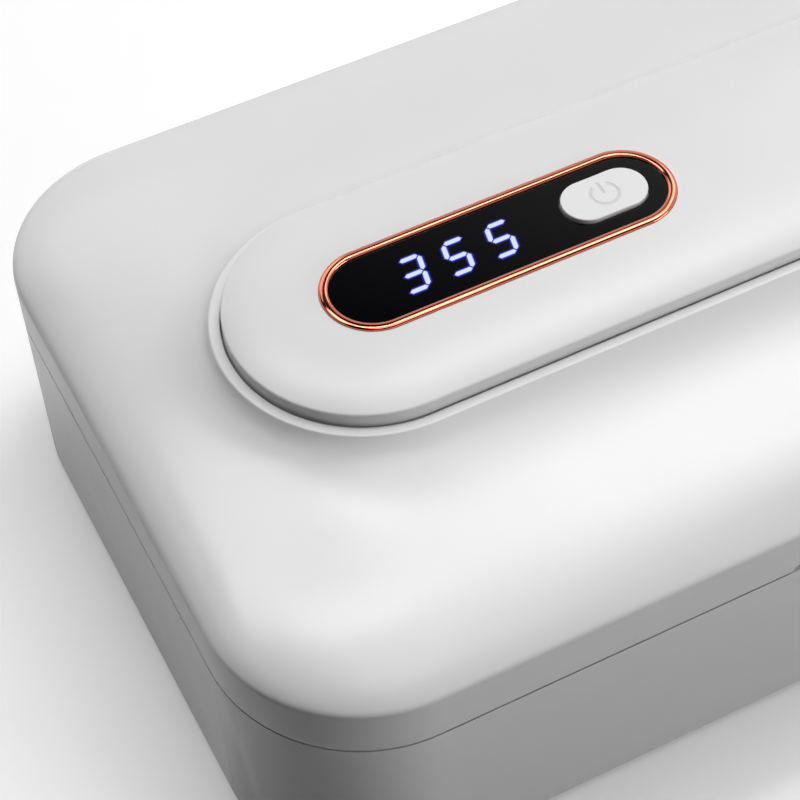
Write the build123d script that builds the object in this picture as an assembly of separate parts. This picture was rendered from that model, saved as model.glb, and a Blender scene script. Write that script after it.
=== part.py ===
from build123d import *
import math
import os

os.makedirs("parts", exist_ok=True)

# A table-top ultraviolet sterilizer box with a hinged lid. Millimetres.
# +X runs along the length, +Y to the hinges, +Z up. Everything is modelled about the
# centre of the casing's plan, on the plane that the feet stand on. save() then moves it
# so that the origin is the centre of the whole footprint, hinge barrels included.

# Casing
LENGTH = 220.0
WIDTH = 137.0
CORNER_R = 28.0
WALL = 2.4
FLOOR = 2.4
FOOT_PROUD = 0.7
SEAM_Z = 39.6
SEAM_GAP = 0.3
BASE_EDGE_R = 0.8

# Crown of the lid: a concave flare down from the collar, then a convex roll to the crease
CREASE_Z = 49.8
CREASE_FILLET_R = 1.8
ROOF = 2.2
COLLAR_Z = 60.95
COLLAR_RIM = 2.15
COLLAR_INNER_R = 0.15
COLLAR_OUTER_R = 0.55
FLARE_START_DROP = 0.5
FLARE_START_IN = 0.2
FLARE_DROP = 5.95
FLARE_RUN_SIDE = 9.5
FLARE_RUN_END = 4.0
SHOULDER_DROP = 4.55
CREASE_TILT_SIDE = 27.0
CREASE_TILT_END = 65.0
CROWN_STEP = 4.4
CROWN_OVERLAP = 2.0

# Raised stadium-shaped control pod on the lid
POD_END_X = 60.6
POD_HALF_W = 24.8
POD_GAP = 0.35
POD_FLOOR_Z = 57.6
POD_FLOOR_T = 2.0
POD_EDGE_Z = 63.45
POD_CROWN = 2.45
POD_EDGE_R = 0.5
POD_SIDE_WALL = 1.8
POD_SKIN = 2.0
POD_POCKET_L = 2.0
POD_POCKET_W = 4.0
POD_POCKET_DROP = 0.2

# Bezel, window and digits. The display sits off centre on the pod.
DISPLAY_X = -34.4
BEZEL_HALF_L = 33.95
BEZEL_HALF_W = 9.5
BEZEL_WIDTH = 1.65
BEZEL_PROUD = 0.5
BEZEL_FILLET_R = 0.45
WINDOW_T = 1.6
WINDOW_SINK = 0.05
WINDOW_LAND = 1.25
TRIM_CLEAR = 0.05
DIGIT_W = 4.8
DIGIT_H = 8.1
DIGIT_PITCH = 8.5
DIGITS_X = -8.4
DIGITS_Y = -0.2
DIGIT_SLANT = 12.0
STROKE = 1.0
STROKE_GAP = 0.12
BAR_CLEAR = 0.02
DIGITS_SHOWN = "355"

# Power button and its switch
BUTTON_X = 20.6
BUTTON_Y = 0.05
BUTTON_HALF_L = 8.15
BUTTON_HALF_W = 4.75
BUTTON_PROUD = 0.85
BUTTON_EDGE_R = 0.25
BUTTON_CLEAR = 0.25
BUTTON_FLANGE = 0.9
BUTTON_FLANGE_T = 0.8
BUTTON_FLANGE_CLEAR = 0.3
BUTTON_TRAVEL = 0.5
SYMBOL_R = 2.5
SYMBOL_STROKE = 0.6
SYMBOL_DEPTH = 0.12
SYMBOL_GAP_DEG = 70.0
SYMBOL_BAR_L = 2.75
SYMBOL_BAR_Y = 1.6
SWITCH_SIZE = 6.0
SWITCH_BORE_DEPTH = 1.9
PLUNGER_R = 1.6
PLUNGER_SHOW = 0.7
PLUNGER_CLEAR = 0.1

# Hinges: two barrels behind the back wall, level with the seam
HINGE_X = 62.0
HINGE_OUT = 1.8
KNUCKLE_R = 2.8
KNUCKLE_SIDE_L = 7.0
KNUCKLE_MID_L = 15.2
KNUCKLE_GAP = 0.4
PIN_R = 1.2
PIN_CLEAR = 0.05
RELIEF = 0.4
WEB_H = 6.0
WEB_LAND = 0.5

# Finger notch under the lid's front edge
NOTCH_L = 32.0
NOTCH_H = 1.3
NOTCH_DEPTH = 1.5
NOTCH_R = 1.2

# Chamber liner, its ledge and the seal
LEDGE_DEPTH = 3.0
LEDGE_T = 6.5
LEDGE_WIDTH = 4.6
LINER_T = 1.0
LINER_CLEAR = 0.4
LINER_FLOOR_LIFT = 4.5
LINER_EDGE_R = 4.0
FLANGE_CLEAR = 0.3
SEAL_W = 2.4
SEAL_H = 1.9
SEAL_CLEAR = 0.2

# Feet and the screws above them
FOOT_X = 84.0
FOOT_Y = 44.0
FOOT_R = 6.0
FOOT_T = 1.5
FOOT_BOSS_R = 4.5
FOOT_BOSS_H = 1.9
POST_R = 3.5

# Screws: shank radius, head radius, head height
SCREW_R = 1.25
SCREW_HEAD_R = 2.3
SCREW_HEAD_H = 1.3
SMALL_SCREW_R = 0.95
SMALL_HEAD_R = 1.8
SMALL_HEAD_H = 1.1
SCREW_FIT = 0.05
HEAD_CLEAR = 0.25
HEAD_SINK = 0.2
COVER_SCREW_DEPTH = 7.0
BOARD_SCREW_DEPTH = 3.0
BOARD_PILOT_DEPTH = 3.5
SCREW_TIP_CLEAR = 0.5

# Magnets
MAGNET_L = 20.0
MAGNET_W = 3.0
MAGNET_H = 3.0
MAGNET_X = 34.0
MAGNET_INSET = 4.7
MAGNET_CLEAR = 0.1
INTERLOCK_X = 24.0
INTERLOCK_L = 10.0

# Inner cover of the lid, with its reflector sheet
COVER_T = 2.0
COVER_CLEAR = 0.3
COVER_SCREW_X = 97.0
COVER_SCREW_Y = 53.0
COVER_MID_Y = 60.0
COVER_BOSS_R = 4.0
COVER_BOSS_H = 1.0
LID_BOSS_R = 3.5
SHEET_T = 0.5
SHEET_INSET = 12.0
MAGNET_CUP_H = 2.2
MAGNET_CUP_WALL = 1.0
MAGNET_SEAT = 1.0

# Ultraviolet lamp boards: light-emitting chips behind clear plates
LAMP_X = 45.0
LAMP_L = 60.0
LAMP_W = 16.0
LAMP_REBATE = 2.0
LAMP_PLATE_T = 1.0
LAMP_PLATE_CLEAR = 0.1
LAMP_FRAME_T = 3.0
LAMP_FRAME_H = 3.0
LAMP_BOARD_T = 1.6
CHIP_SIZE = 3.6
CHIP_H = 1.2
LENS_R = 1.3
LENS_H = 0.3
CHIPS_PER_BOARD = 4
CHIP_PITCH = 14.0

# Boards and battery in the lid
BOARD_T = 1.2
MAIN_X = 43.0
MAIN_Y = 51.5
MAIN_L = 70.0
MAIN_W = 28.0
MAIN_Z = 43.6
MAIN_T = 1.6
MAIN_SCREW_INSET = 3.5
MAIN_BOSS_R = 2.4
DISPLAY_BOARD_L = 57.0
DISPLAY_BOARD_W = 24.0
DISPLAY_BOARD_LIFT = 0.3
DISPLAY_SCREW_DX = 25.0
DISPLAY_SCREW_DY = 9.4
DISPLAY_BOSS_R = 2.1
MODULE_L = 26.5
MODULE_W = 12.2
BATTERY_L = 54.0
BATTERY_W = 32.0
BATTERY_H = 6.0
BATTERY_X = -47.0
BATTERY_Y = 43.0
BATTERY_EDGE_R = 2.4
TAPE_T = 0.4
TAPE_INSET = 4.0
SOCKET_X = 34.0
SOCKET_W = 9.0
SOCKET_H = 3.2
SOCKET_L = 7.4
SOCKET_SINK = 0.6
SOCKET_CLEAR = 0.2
SOCKET_WALL = 0.35
SOCKET_BACK = 1.5
TONGUE_W = 6.6
TONGUE_L = 5.9
TONGUE_T = 0.6
BUZZER_R = 4.5
BUZZER_H = 4.0
BUZZER_DX = -22.0
BUZZER_DY = -1.5
BUZZER_HOLE_R = 1.0
BUZZER_HOLE_DEPTH = 1.2
INDUCTOR_DX = 24.0
INDUCTOR_DY = 1.0
INDUCTOR_SIZE = 8.0
INDUCTOR_H = 3.6
INDUCTOR_BREAK = 1.2
REED_R = 0.9
REED_L = 12.0
REED_INSET = 5.0
CONNECTOR_L = 6.0
CONNECTOR_W = 6.0
CONNECTOR_H = 4.4
BATTERY_PLUG_DY = -4.0
LAMP_PLUG_DX = 2.0
DISPLAY_PLUG_DX = -20.0
LEAD_R = 0.65
LEAD_PITCH = 2.0
LEAD_ARCH = 3.4
LEAD_ARC_R = 6.0
LEAD_TURN_R = 2.4
LEAD_INSET = 2.0
CABLE_R = 1.4

# Board chips: place from the main board's centre, side and height
CHIPS = ((-4.0, 2.0, 9.0, 1.4), (12.0, -2.0, 5.0, 1.2), (14.0, 7.0, 4.0, 1.2))

# Depth to which added blocks run into what they join, and by which cuts run past a face
LAP = 0.5
PAST = 1.0

# Opening in the pod floor for the display board
CABLE_WAY_L = 61.0
CABLE_WAY_W = 26.0
CABLE_WAY_R = 4.0

# Pod screws
POD_SCREW_X = 60.0
POD_SCREW_Y = 17.0
POD_BOSS_R = 2.8
POD_SCREW_DEPTH = 4.0

# Heights and places that follow from the sizes above
BASE_TOP = SEAM_Z - SEAM_GAP / 2
LID_LOW = SEAM_Z + SEAM_GAP / 2
FLOOR_TOP = FOOT_PROUD + FLOOR
LEDGE_Z = BASE_TOP - LEDGE_DEPTH
LEDGE_INSET = WALL + LEDGE_WIDTH
LINER_INSET = LEDGE_INSET + LINER_CLEAR
LINER_LOW = FLOOR_TOP + LINER_FLOOR_LIFT
FLANGE_TOP = LEDGE_Z + LINER_T
HINGE_Y = WIDTH / 2 + HINGE_OUT
HINGE_Z = SEAM_Z
HINGE_PROUD = HINGE_OUT + KNUCKLE_R
FRAME_SHIFT_Y = -HINGE_PROUD / 2
COVER_INSET = WALL + COVER_CLEAR
COVER_TOP = LID_LOW + COVER_T
COLLAR_IN = POD_HALF_W + POD_GAP
COLLAR_OUT = COLLAR_IN + COLLAR_RIM
POD_TOP = POD_EDGE_Z + POD_CROWN
WINDOW_TOP = POD_TOP - WINDOW_SINK
WINDOW_LOW = WINDOW_TOP - WINDOW_T
BEZEL_IN_L = BEZEL_HALF_L - BEZEL_WIDTH
BEZEL_IN_W = BEZEL_HALF_W - BEZEL_WIDTH
DISPLAY_BOARD_Z = POD_FLOOR_Z + DISPLAY_BOARD_LIFT
DISPLAY_BOARD_TOP = DISPLAY_BOARD_Z + BOARD_T
MODULE_TOP = WINDOW_LOW - TRIM_CLEAR
BUTTON_TOP = WINDOW_TOP + BUTTON_PROUD
FLANGE_LOW = WINDOW_LOW - BUTTON_FLANGE_CLEAR - BUTTON_FLANGE_T
SWITCH_TOP = FLANGE_LOW - PLUNGER_SHOW
LAMP_BOARD_Z = COVER_TOP + LAMP_FRAME_H
MAIN_TOP = MAIN_Z + MAIN_T


def slab(inset, low, high):
    """Block with the casing's rounded outline, drawn in by inset all round."""
    outline = RectangleRounded(LENGTH - 2 * inset, WIDTH - 2 * inset, CORNER_R - inset)
    return Pos(0, 0, low) * extrude(outline, high - low)


def capsule(half_l, half_w, low, high, x=0.0, y=0.0):
    """Upright stadium-shaped block."""
    return Pos(x, y, low) * extrude(SlotOverall(2 * half_l, 2 * half_w), high - low)


def pod_capsule(half_w, low, high):
    """Stadium block about the pod's two end centres."""
    return capsule(POD_END_X + half_w, half_w, low, high)


def post(x, y, r, low, high):
    """Upright cylinder between two heights."""
    return Pos(x, y, (low + high) / 2) * Cylinder(r, high - low)


def block(x, y, low, size_x, size_y, size_z):
    """Box centred on x and y that stands on the height low."""
    return Pos(x, y, low + size_z / 2) * Box(size_x, size_y, size_z)


def corners(x, y):
    """The four points mirrored about both middle planes."""
    return [(sx * x, sy * y) for sx in (-1, 1) for sy in (-1, 1)]


def fuse(shapes):
    """One shape from a list of shapes."""
    whole = shapes[0]
    for shape in shapes[1:]:
        whole = whole + shape
    return whole


def screw(x, y, seat, depth, r, head_r, head_h, up=1):
    """Screw with its head's bearing face at seat and its shank running up (or down) depth."""
    head_low = seat - head_h if up > 0 else seat
    head = post(x, y, head_r, head_low, head_low + head_h)
    shank = post(x, y, r, min(seat, seat + up * depth), max(seat, seat + up * depth))
    return head + shank


def save(name, shape):
    """Writes one sub-part, moved into the footprint-centred frame."""
    solids = [Pos(0, FRAME_SHIFT_Y, 0) * solid for solid in shape.solids()]
    part = solids[0] if len(solids) == 1 else Compound(children=solids)
    part.label = name
    export_step(part, f"parts/{name}.step")


# The lid's crown

def crown_stations():
    """Evenly spaced points along the left half of the casing's wall, from back to front.

    Each comes with the x of the crown section's inner end. Beside the pod's straight part
    the sections stand square to the wall, and round the pod's end they fan out from its
    centre.
    """
    corner_x = LENGTH / 2 - CORNER_R
    corner_y = WIDTH / 2 - CORNER_R
    straight = [(x, WIDTH / 2) for x in evenly(0.0, -POD_END_X)]
    side = [(x, WIDTH / 2) for x in evenly(-POD_END_X, -corner_x)]
    turn = [
        (-corner_x - CORNER_R * math.sin(a / CORNER_R), corner_y + CORNER_R * math.cos(a / CORNER_R))
        for a in evenly(0.0, CORNER_R * math.pi / 2)
    ]
    end = [(-LENGTH / 2, y) for y in evenly(corner_y, 0.0)]
    quarter = straight + side + turn + end
    points = quarter + [(-LENGTH / 2, 0.0)] + [(x, -y) for x, y in reversed(quarter)]
    return [(max(x, -POD_END_X), x, y) for x, y in points]


def evenly(start, stop):
    """Values from start up to, but not including, stop, about CROWN_STEP apart."""
    count = max(1, round(abs(stop - start) / CROWN_STEP))
    return [start + (stop - start) * i / count for i in range(count)]


def crown_face(centre_x, wall_x, wall_y, drop):
    """Upright section of the crown, from inside the collar out to the casing's wall.

    The curve is a cubic Bezier: it leaves the collar as a concave flare and reaches the
    wall at a tilt that is gentle on the long sides and steep at the ends. A rounded edge
    turns it down into the wall.
    """
    reach = math.hypot(wall_x - centre_x, wall_y)
    along = Vector(wall_x - centre_x, wall_y, 0) / reach
    endness = along.X**2
    flare_run = FLARE_RUN_SIDE + (FLARE_RUN_END - FLARE_RUN_SIDE) * endness
    tilt = math.radians(CREASE_TILT_SIDE + (CREASE_TILT_END - CREASE_TILT_SIDE) * endness)
    turn = math.pi / 2 - tilt
    tangent = CREASE_FILLET_R * math.tan(turn / 2)
    grip = CREASE_FILLET_R * math.tan(turn / 4) * 4 / 3
    start_r = COLLAR_OUT - FLARE_START_IN
    start_z = COLLAR_Z - FLARE_START_DROP - drop
    crease_z = CREASE_Z - drop
    shoulder_z = start_z - SHOULDER_DROP
    shoulder_r = reach - (shoulder_z - crease_z) / math.tan(tilt)
    edge_r = reach - tangent * math.cos(tilt)
    edge_z = crease_z + tangent * math.sin(tilt)
    wall_z = crease_z - tangent
    inner_r = COLLAR_IN - CROWN_OVERLAP
    low = LID_LOW - CROWN_OVERLAP

    def at(r, z):
        return Vector(centre_x, 0, z) + along * r

    crown = Edge.make_bezier(
        at(start_r, start_z), at(start_r + flare_run, start_z - FLARE_DROP),
        at(shoulder_r, shoulder_z), at(edge_r, edge_z),
    )
    edge = Edge.make_bezier(
        at(edge_r, edge_z), at(edge_r + grip * math.cos(tilt), edge_z - grip * math.sin(tilt)),
        at(reach, wall_z + grip), at(reach, wall_z),
    )
    path = [at(reach, wall_z), at(reach, low), at(inner_r, low), at(inner_r, start_z),
            at(start_r, start_z)]
    sides = [Edge.make_line(p, q) for p, q in zip(path, path[1:])]
    return Face(Wire([crown, edge] + sides))


def crown_block(drop):
    """The crown as a solid ring, lowered by drop: a lofted half and its mirror image."""
    left_half = loft([crown_face(*station, drop) for station in crown_stations()])
    return left_half + mirror(left_half, Plane.YZ)


# Base

def hinge_spans(middle):
    """X ranges of the lid's middle barrels, or of the base's side barrels."""
    spans = []
    for sign in (-1, 1):
        half = KNUCKLE_MID_L / 2
        if middle:
            spans.append((sign * HINGE_X - half, sign * HINGE_X + half))
        else:
            inner = half + KNUCKLE_GAP
            for side in (-1, 1):
                ends = sorted((side * inner, side * (inner + KNUCKLE_SIDE_L)))
                spans.append((sign * HINGE_X + ends[0], sign * HINGE_X + ends[1]))
    return spans


def barrel(span, r, grow=0.0):
    """Cylinder on the hinge axis over an X range."""
    length = span[1] - span[0] + 2 * grow
    return Pos(sum(span) / 2, HINGE_Y, HINGE_Z) * Rot(0, 90, 0) * Cylinder(r, length)


def web(span, up):
    """Gusset that carries a barrel from the back wall, above or below the axis."""
    inner_y = WIDTH / 2 - WALL / 2
    outer_y = HINGE_Y + KNUCKLE_R
    low = HINGE_Z if up > 0 else HINGE_Z - WEB_H
    size = span[1] - span[0]
    plate = block(sum(span) / 2, (inner_y + outer_y) / 2, low, size, outer_y - inner_y, WEB_H)
    tip = Edge.make_line((0, outer_y, HINGE_Z + up * WEB_H), (1, outer_y, HINGE_Z + up * WEB_H))
    corner = plate.edges().filter_by(Axis.X).sort_by(lambda e: e.distance_to(tip))[0]
    return chamfer(corner, WEB_H - WEB_LAND, HINGE_PROUD - WEB_LAND)


def hinge_parts(middle, up):
    """Barrels with their gussets, bored for the pins."""
    spans = hinge_spans(middle)
    return fuse([barrel(span, KNUCKLE_R) + web(span, up) for span in spans])


def pin_bores():
    """Through bores for both hinge pins."""
    half = KNUCKLE_MID_L / 2 + KNUCKLE_GAP + KNUCKLE_SIDE_L
    spans = [(s * HINGE_X - half, s * HINGE_X + half) for s in (-1, 1)]
    return fuse([barrel(span, PIN_R + PIN_CLEAR, LAP) for span in spans])


def reliefs(middle):
    """Room round the other half's barrels."""
    return fuse([barrel(span, KNUCKLE_R + RELIEF, RELIEF) for span in hinge_spans(middle)])


def bar_magnet(x, side, low, length, grow):
    """Bar magnet beside the front (side -1) or back (side 1) wall, grown for its pocket."""
    y = side * (WIDTH / 2 - MAGNET_INSET)
    return block(x, y, low, length + 2 * grow, MAGNET_W + 2 * grow, MAGNET_H + grow)


def base_magnet_set(grow):
    """The two latch magnets under the liner's flange."""
    low = LEDGE_Z - MAGNET_H - grow
    return fuse([bar_magnet(s * MAGNET_X, -1, low, MAGNET_L, grow) for s in (-1, 1)])


def interlock(grow):
    """The magnet that tells the circuit that the lid is shut."""
    low = LEDGE_Z - MAGNET_H - grow
    return bar_magnet(INTERLOCK_X, 1, low, INTERLOCK_L, grow)


def base_shell():
    """Outer tub with its ledge, foot recesses, screw bosses and hinge barrels."""
    tub = slab(0, FOOT_PROUD, BASE_TOP)
    tub = fillet(tub.faces().sort_by(Axis.Z)[0].edges(), BASE_EDGE_R)
    tub -= slab(WALL, FLOOR_TOP, BASE_TOP + PAST)
    ledge_low = LEDGE_Z - LEDGE_T
    tub += slab(WALL, ledge_low, LEDGE_Z) - slab(LEDGE_INSET, ledge_low, LEDGE_Z)
    tub += hinge_parts(False, -1)
    tub -= reliefs(True)
    tub -= pin_bores()
    head_r = SCREW_HEAD_R + HEAD_CLEAR
    recess_top = FOOT_T
    for x, y in corners(FOOT_X, FOOT_Y):
        tub += post(x, y, FOOT_BOSS_R, FLOOR_TOP, FLOOR_TOP + FOOT_BOSS_H)
        tub -= post(x, y, FOOT_R, 0, recess_top)
        tub -= post(x, y, head_r, recess_top, recess_top + SCREW_HEAD_H + HEAD_CLEAR)
        tub -= post(x, y, SCREW_R + HEAD_CLEAR, 0, LINER_LOW)
    tub -= base_magnet_set(MAGNET_CLEAR)
    tub -= interlock(MAGNET_CLEAR)
    return tub


def chamber_liner():
    """Mirror-finished tray that forms the chamber, hung from its flange."""
    outer = slab(LINER_INSET, LINER_LOW, LEDGE_Z)
    outer = fillet(outer.faces().sort_by(Axis.Z)[0].edges(), LINER_EDGE_R + LINER_T)
    outer += slab(WALL + FLANGE_CLEAR, LEDGE_Z, FLANGE_TOP)
    for x, y in corners(FOOT_X, FOOT_Y):
        outer += post(x, y, POST_R, FLOOR_TOP + FOOT_BOSS_H, LINER_LOW + LINER_T / 2)
    inner = slab(LINER_INSET + LINER_T, LINER_LOW + LINER_T, FLANGE_TOP + PAST)
    inner = fillet(inner.faces().sort_by(Axis.Z)[0].edges(), LINER_EDGE_R)
    outer -= inner
    for x, y in corners(FOOT_X, FOOT_Y):
        outer -= post(x, y, SCREW_R + SCREW_FIT, 0, LINER_LOW)
    return outer


def liner_screws():
    """Four screws, up through the base's floor into the liner's posts."""
    seat = FOOT_T + SCREW_HEAD_H + HEAD_CLEAR
    depth = LINER_LOW - seat - HEAD_CLEAR
    places = corners(FOOT_X, FOOT_Y)
    return Compound(
        children=[
            screw(x, y, seat, depth, SCREW_R, SCREW_HEAD_R, SCREW_HEAD_H) for x, y in places
        ]
    )


def rubber_feet():
    """Four round feet, each covering a liner screw."""
    feet = []
    for x, y in corners(FOOT_X, FOOT_Y):
        foot = post(x, y, FOOT_R - TRIM_CLEAR, 0, FOOT_T)
        feet.append(fillet(foot.edges().sort_by(Axis.Z)[0], FOOT_PROUD / 2))
    return Compound(children=feet)


def lid_seal():
    """Soft ring on the liner's flange, just below the lid's inner cover."""
    outer = WALL + FLANGE_CLEAR + SEAL_CLEAR
    low, high = FLANGE_TOP, FLANGE_TOP + SEAL_H
    return slab(outer, low, high) - slab(outer + SEAL_W, low, high)


def hinge_pins():
    """One steel pin for each hinge."""
    half = KNUCKLE_MID_L / 2 + KNUCKLE_GAP + KNUCKLE_SIDE_L
    spans = [(s * HINGE_X - half, s * HINGE_X + half) for s in (-1, 1)]
    return Compound(children=[barrel(span, PIN_R) for span in spans])


# Lid

def cover_screw_places():
    """Where the inner cover's six screws stand."""
    return corners(COVER_SCREW_X, COVER_SCREW_Y) + [(0, COVER_MID_Y), (0, -COVER_MID_Y)]


def main_screw_places():
    """Where the main board's four screws stand."""
    dx = MAIN_L / 2 - MAIN_SCREW_INSET
    dy = MAIN_W / 2 - MAIN_SCREW_INSET
    return [(MAIN_X + x, MAIN_Y + y) for x, y in corners(dx, dy)]


def socket_box(grow):
    """Charging socket's envelope, its mouth sunk a little in the back wall."""
    mouth = WIDTH / 2 - SOCKET_SINK
    y = mouth - SOCKET_L / 2
    size = (SOCKET_W + 2 * grow, SOCKET_L, SOCKET_H + 2 * grow)
    return block(SOCKET_X, y, MAIN_TOP - grow, *size)


def lid_shell():
    """Crowned outer lid with its collar, pod floor, bosses and hinge barrels."""
    envelope = crown_block(0.0) + pod_capsule(COLLAR_IN - PAST, LID_LOW - PAST, POD_FLOOR_Z)
    outer = envelope & slab(-CROWN_OVERLAP, LID_LOW, COLLAR_Z)
    low = POD_FLOOR_Z - POD_FLOOR_T
    cavity = crown_block(ROOF) & slab(WALL, LID_LOW - PAST, COLLAR_Z)
    cavity += pod_capsule(COLLAR_OUT, LID_LOW - PAST, low)
    shell = outer - cavity
    shell += pod_capsule(COLLAR_OUT + LAP, low, COLLAR_Z - COLLAR_RIM) & outer
    bosses = [
        post(x, y, LID_BOSS_R, COVER_TOP + COVER_BOSS_H, low) for x, y in cover_screw_places()
    ]
    bosses += [post(x, y, MAIN_BOSS_R, MAIN_TOP, low) for x, y in main_screw_places()]
    shell += fuse(bosses) & outer
    rim = pod_capsule(COLLAR_OUT, low, COLLAR_Z) - pod_capsule(COLLAR_IN, low, COLLAR_Z)
    rim = rounded_rim(rim)
    shell -= pod_capsule(COLLAR_IN, POD_FLOOR_Z, COLLAR_Z + PAST)
    shell += rim
    shell += hinge_parts(True, 1)
    shell -= reliefs(False)
    shell -= pin_bores()
    shell -= lid_openings()
    return shell


def rounded_rim(rim):
    """Collar with its top's inner edge broken and its outer edge rolled over."""
    wires = sorted(rim.faces().sort_by(Axis.Z)[-1].wires(), key=lambda w: w.bounding_box().size.Y)
    inner_y = wires[0].bounding_box().size.Y
    rim = fillet(wires[-1].edges(), COLLAR_OUTER_R)
    inner = [
        w for w in rim.faces().sort_by(Axis.Z)[-1].wires()
        if abs(w.bounding_box().size.Y - inner_y) < COLLAR_INNER_R
    ]
    return fillet(inner[0].edges(), COLLAR_INNER_R)


def lid_openings():
    """Everything cut from the lid: screw holes, cable way, finger notch and socket hole."""
    pilot_low = COVER_TOP + COVER_BOSS_H - PAST
    pilot_top = pilot_low + COVER_SCREW_DEPTH
    cuts = [
        post(x, y, SCREW_R + SCREW_FIT, pilot_low, pilot_top) for x, y in cover_screw_places()
    ]
    cuts += [
        post(x, y, SMALL_SCREW_R + SCREW_FIT, MAIN_TOP - PAST, MAIN_TOP + BOARD_PILOT_DEPTH)
        for x, y in main_screw_places()
    ]
    floor_low = POD_FLOOR_Z - POD_FLOOR_T - PAST
    cuts += [
        post(x, y, SMALL_SCREW_R + HEAD_CLEAR, floor_low, POD_FLOOR_Z + PAST)
        for x, y in corners(POD_SCREW_X, POD_SCREW_Y)
    ]
    way = RectangleRounded(CABLE_WAY_L, CABLE_WAY_W, CABLE_WAY_R)
    cuts.append(Pos(DISPLAY_X, 0, floor_low) * extrude(way, POD_FLOOR_T + 2 * PAST))
    notch = block(0, -WIDTH / 2, LID_LOW - PAST, NOTCH_L, 2 * NOTCH_DEPTH, NOTCH_H + PAST)
    notch = fillet(notch.edges().filter_by(Axis.Y).sort_by(Axis.Z)[-2:], NOTCH_R)
    cuts.append(notch)
    hole = block(
        SOCKET_X, WIDTH / 2, MAIN_TOP - SOCKET_CLEAR,
        SOCKET_W + 2 * SOCKET_CLEAR, 4 * WALL, SOCKET_H + 2 * SOCKET_CLEAR,
    )
    cuts.append(fillet(hole.edges().filter_by(Axis.Y), SOCKET_H / 2))
    return fuse(cuts)


def lamp_window(grow, low, high):
    """Rectangular cut over each lamp board, grown all round."""
    size = (LAMP_L + 2 * grow, LAMP_W + 2 * grow)
    return fuse([block(s * LAMP_X, 0, low, *size, high - low) for s in (-1, 1)])


def lamp_screw_places():
    """Two screws for each lamp board, on the end walls of its frame."""
    dx = LAMP_L / 2 + LAMP_REBATE + LAMP_FRAME_T / 2
    return [(side * LAMP_X + end * dx, 0) for side in (-1, 1) for end in (-1, 1)]


def cover_magnets(grow):
    """The lid's two latch magnets, straight above the base's."""
    low = COVER_TOP - MAGNET_SEAT
    return fuse([bar_magnet(s * MAGNET_X, -1, low, MAGNET_L, grow) for s in (-1, 1)])


def lid_inner_cover():
    """Panel that closes the lid's underside and carries the lamps and latch magnets."""
    cover = slab(COVER_INSET, LID_LOW, COVER_TOP)
    for x, y in cover_screw_places():
        cover += post(x, y, COVER_BOSS_R, COVER_TOP - LAP, COVER_TOP + COVER_BOSS_H)
    frame_grow = LAMP_REBATE + LAMP_FRAME_T
    cover += lamp_window(frame_grow, COVER_TOP - LAP, LAMP_BOARD_Z)
    cup_l = MAGNET_L + 2 * MAGNET_CUP_WALL
    cup_w = MAGNET_W + 2 * MAGNET_CUP_WALL
    cup_y = -(WIDTH / 2 - COVER_INSET - cup_w / 2)
    for sign in (-1, 1):
        cover += block(sign * MAGNET_X, cup_y, COVER_TOP - LAP, cup_l, cup_w, MAGNET_CUP_H)
    low, high = LID_LOW - PAST, LAMP_BOARD_Z + PAST
    cover -= lamp_window(0.0, low, high)
    cover -= lamp_window(LAMP_REBATE, COVER_TOP - LAMP_PLATE_T, high)
    cover -= cover_magnets(MAGNET_CLEAR)
    cover -= slab(SHEET_INSET - TRIM_CLEAR, low, LID_LOW + SHEET_T)
    for x, y in cover_screw_places():
        cover -= post(x, y, SCREW_HEAD_R + HEAD_CLEAR, low, LID_LOW + SCREW_HEAD_H)
        cover -= post(x, y, SCREW_R + HEAD_CLEAR, low, COVER_TOP + COVER_BOSS_H + PAST)
    for x, y in lamp_screw_places():
        cover -= post(x, y, SMALL_SCREW_R + SCREW_FIT, COVER_TOP, high)
    return cover


def lid_reflector():
    """Polished sheet under the inner cover, open below the lamps."""
    sheet = slab(SHEET_INSET, LID_LOW, LID_LOW + SHEET_T)
    return sheet - lamp_window(0.0, LID_LOW - PAST, COVER_TOP)


def inner_cover_screws():
    """Six screws that hold the inner cover to the lid."""
    seat = LID_LOW + SCREW_HEAD_H
    head_h = SCREW_HEAD_H - HEAD_SINK
    return Compound(
        children=[
            screw(x, y, seat, COVER_SCREW_DEPTH, SCREW_R, SCREW_HEAD_R, head_h)
            for x, y in cover_screw_places()
        ]
    )


def lamp_plates():
    """Clear plates in front of the lamp chips."""
    grow = LAMP_REBATE - LAMP_PLATE_CLEAR
    return lamp_window(grow, COVER_TOP - LAMP_PLATE_T, COVER_TOP)


def lamp_boards():
    """Metal-cored boards on the inner cover's frames, drilled for their screws."""
    grow = LAMP_REBATE + LAMP_FRAME_T
    top = LAMP_BOARD_Z + LAMP_BOARD_T
    boards = lamp_window(grow, LAMP_BOARD_Z, top)
    for x, y in lamp_screw_places():
        boards -= post(x, y, SMALL_SCREW_R + HEAD_CLEAR, LAMP_BOARD_Z - PAST, top + PAST)
    return boards


def lamp_screws():
    """Screws of the lamp boards."""
    seat = LAMP_BOARD_Z + LAMP_BOARD_T
    depth = LAMP_BOARD_T + LAMP_FRAME_H - SCREW_TIP_CLEAR
    return Compound(
        children=[
            screw(x, y, seat, depth, SMALL_SCREW_R, SMALL_HEAD_R, SMALL_HEAD_H, up=-1)
            for x, y in lamp_screw_places()
        ]
    )


def lamp_chips():
    """Light-emitting chips under the lamp boards, each with its round lens."""
    chips = []
    for side in (-1, 1):
        for i in range(CHIPS_PER_BOARD):
            x = side * LAMP_X + (i - (CHIPS_PER_BOARD - 1) / 2) * CHIP_PITCH
            chip = block(x, 0, LAMP_BOARD_Z - CHIP_H, CHIP_SIZE, CHIP_SIZE, CHIP_H)
            chip_low = LAMP_BOARD_Z - CHIP_H
            chips.append(chip + post(x, 0, LENS_R, chip_low - LENS_H, chip_low))
    return Compound(children=chips)


# Pod

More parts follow.
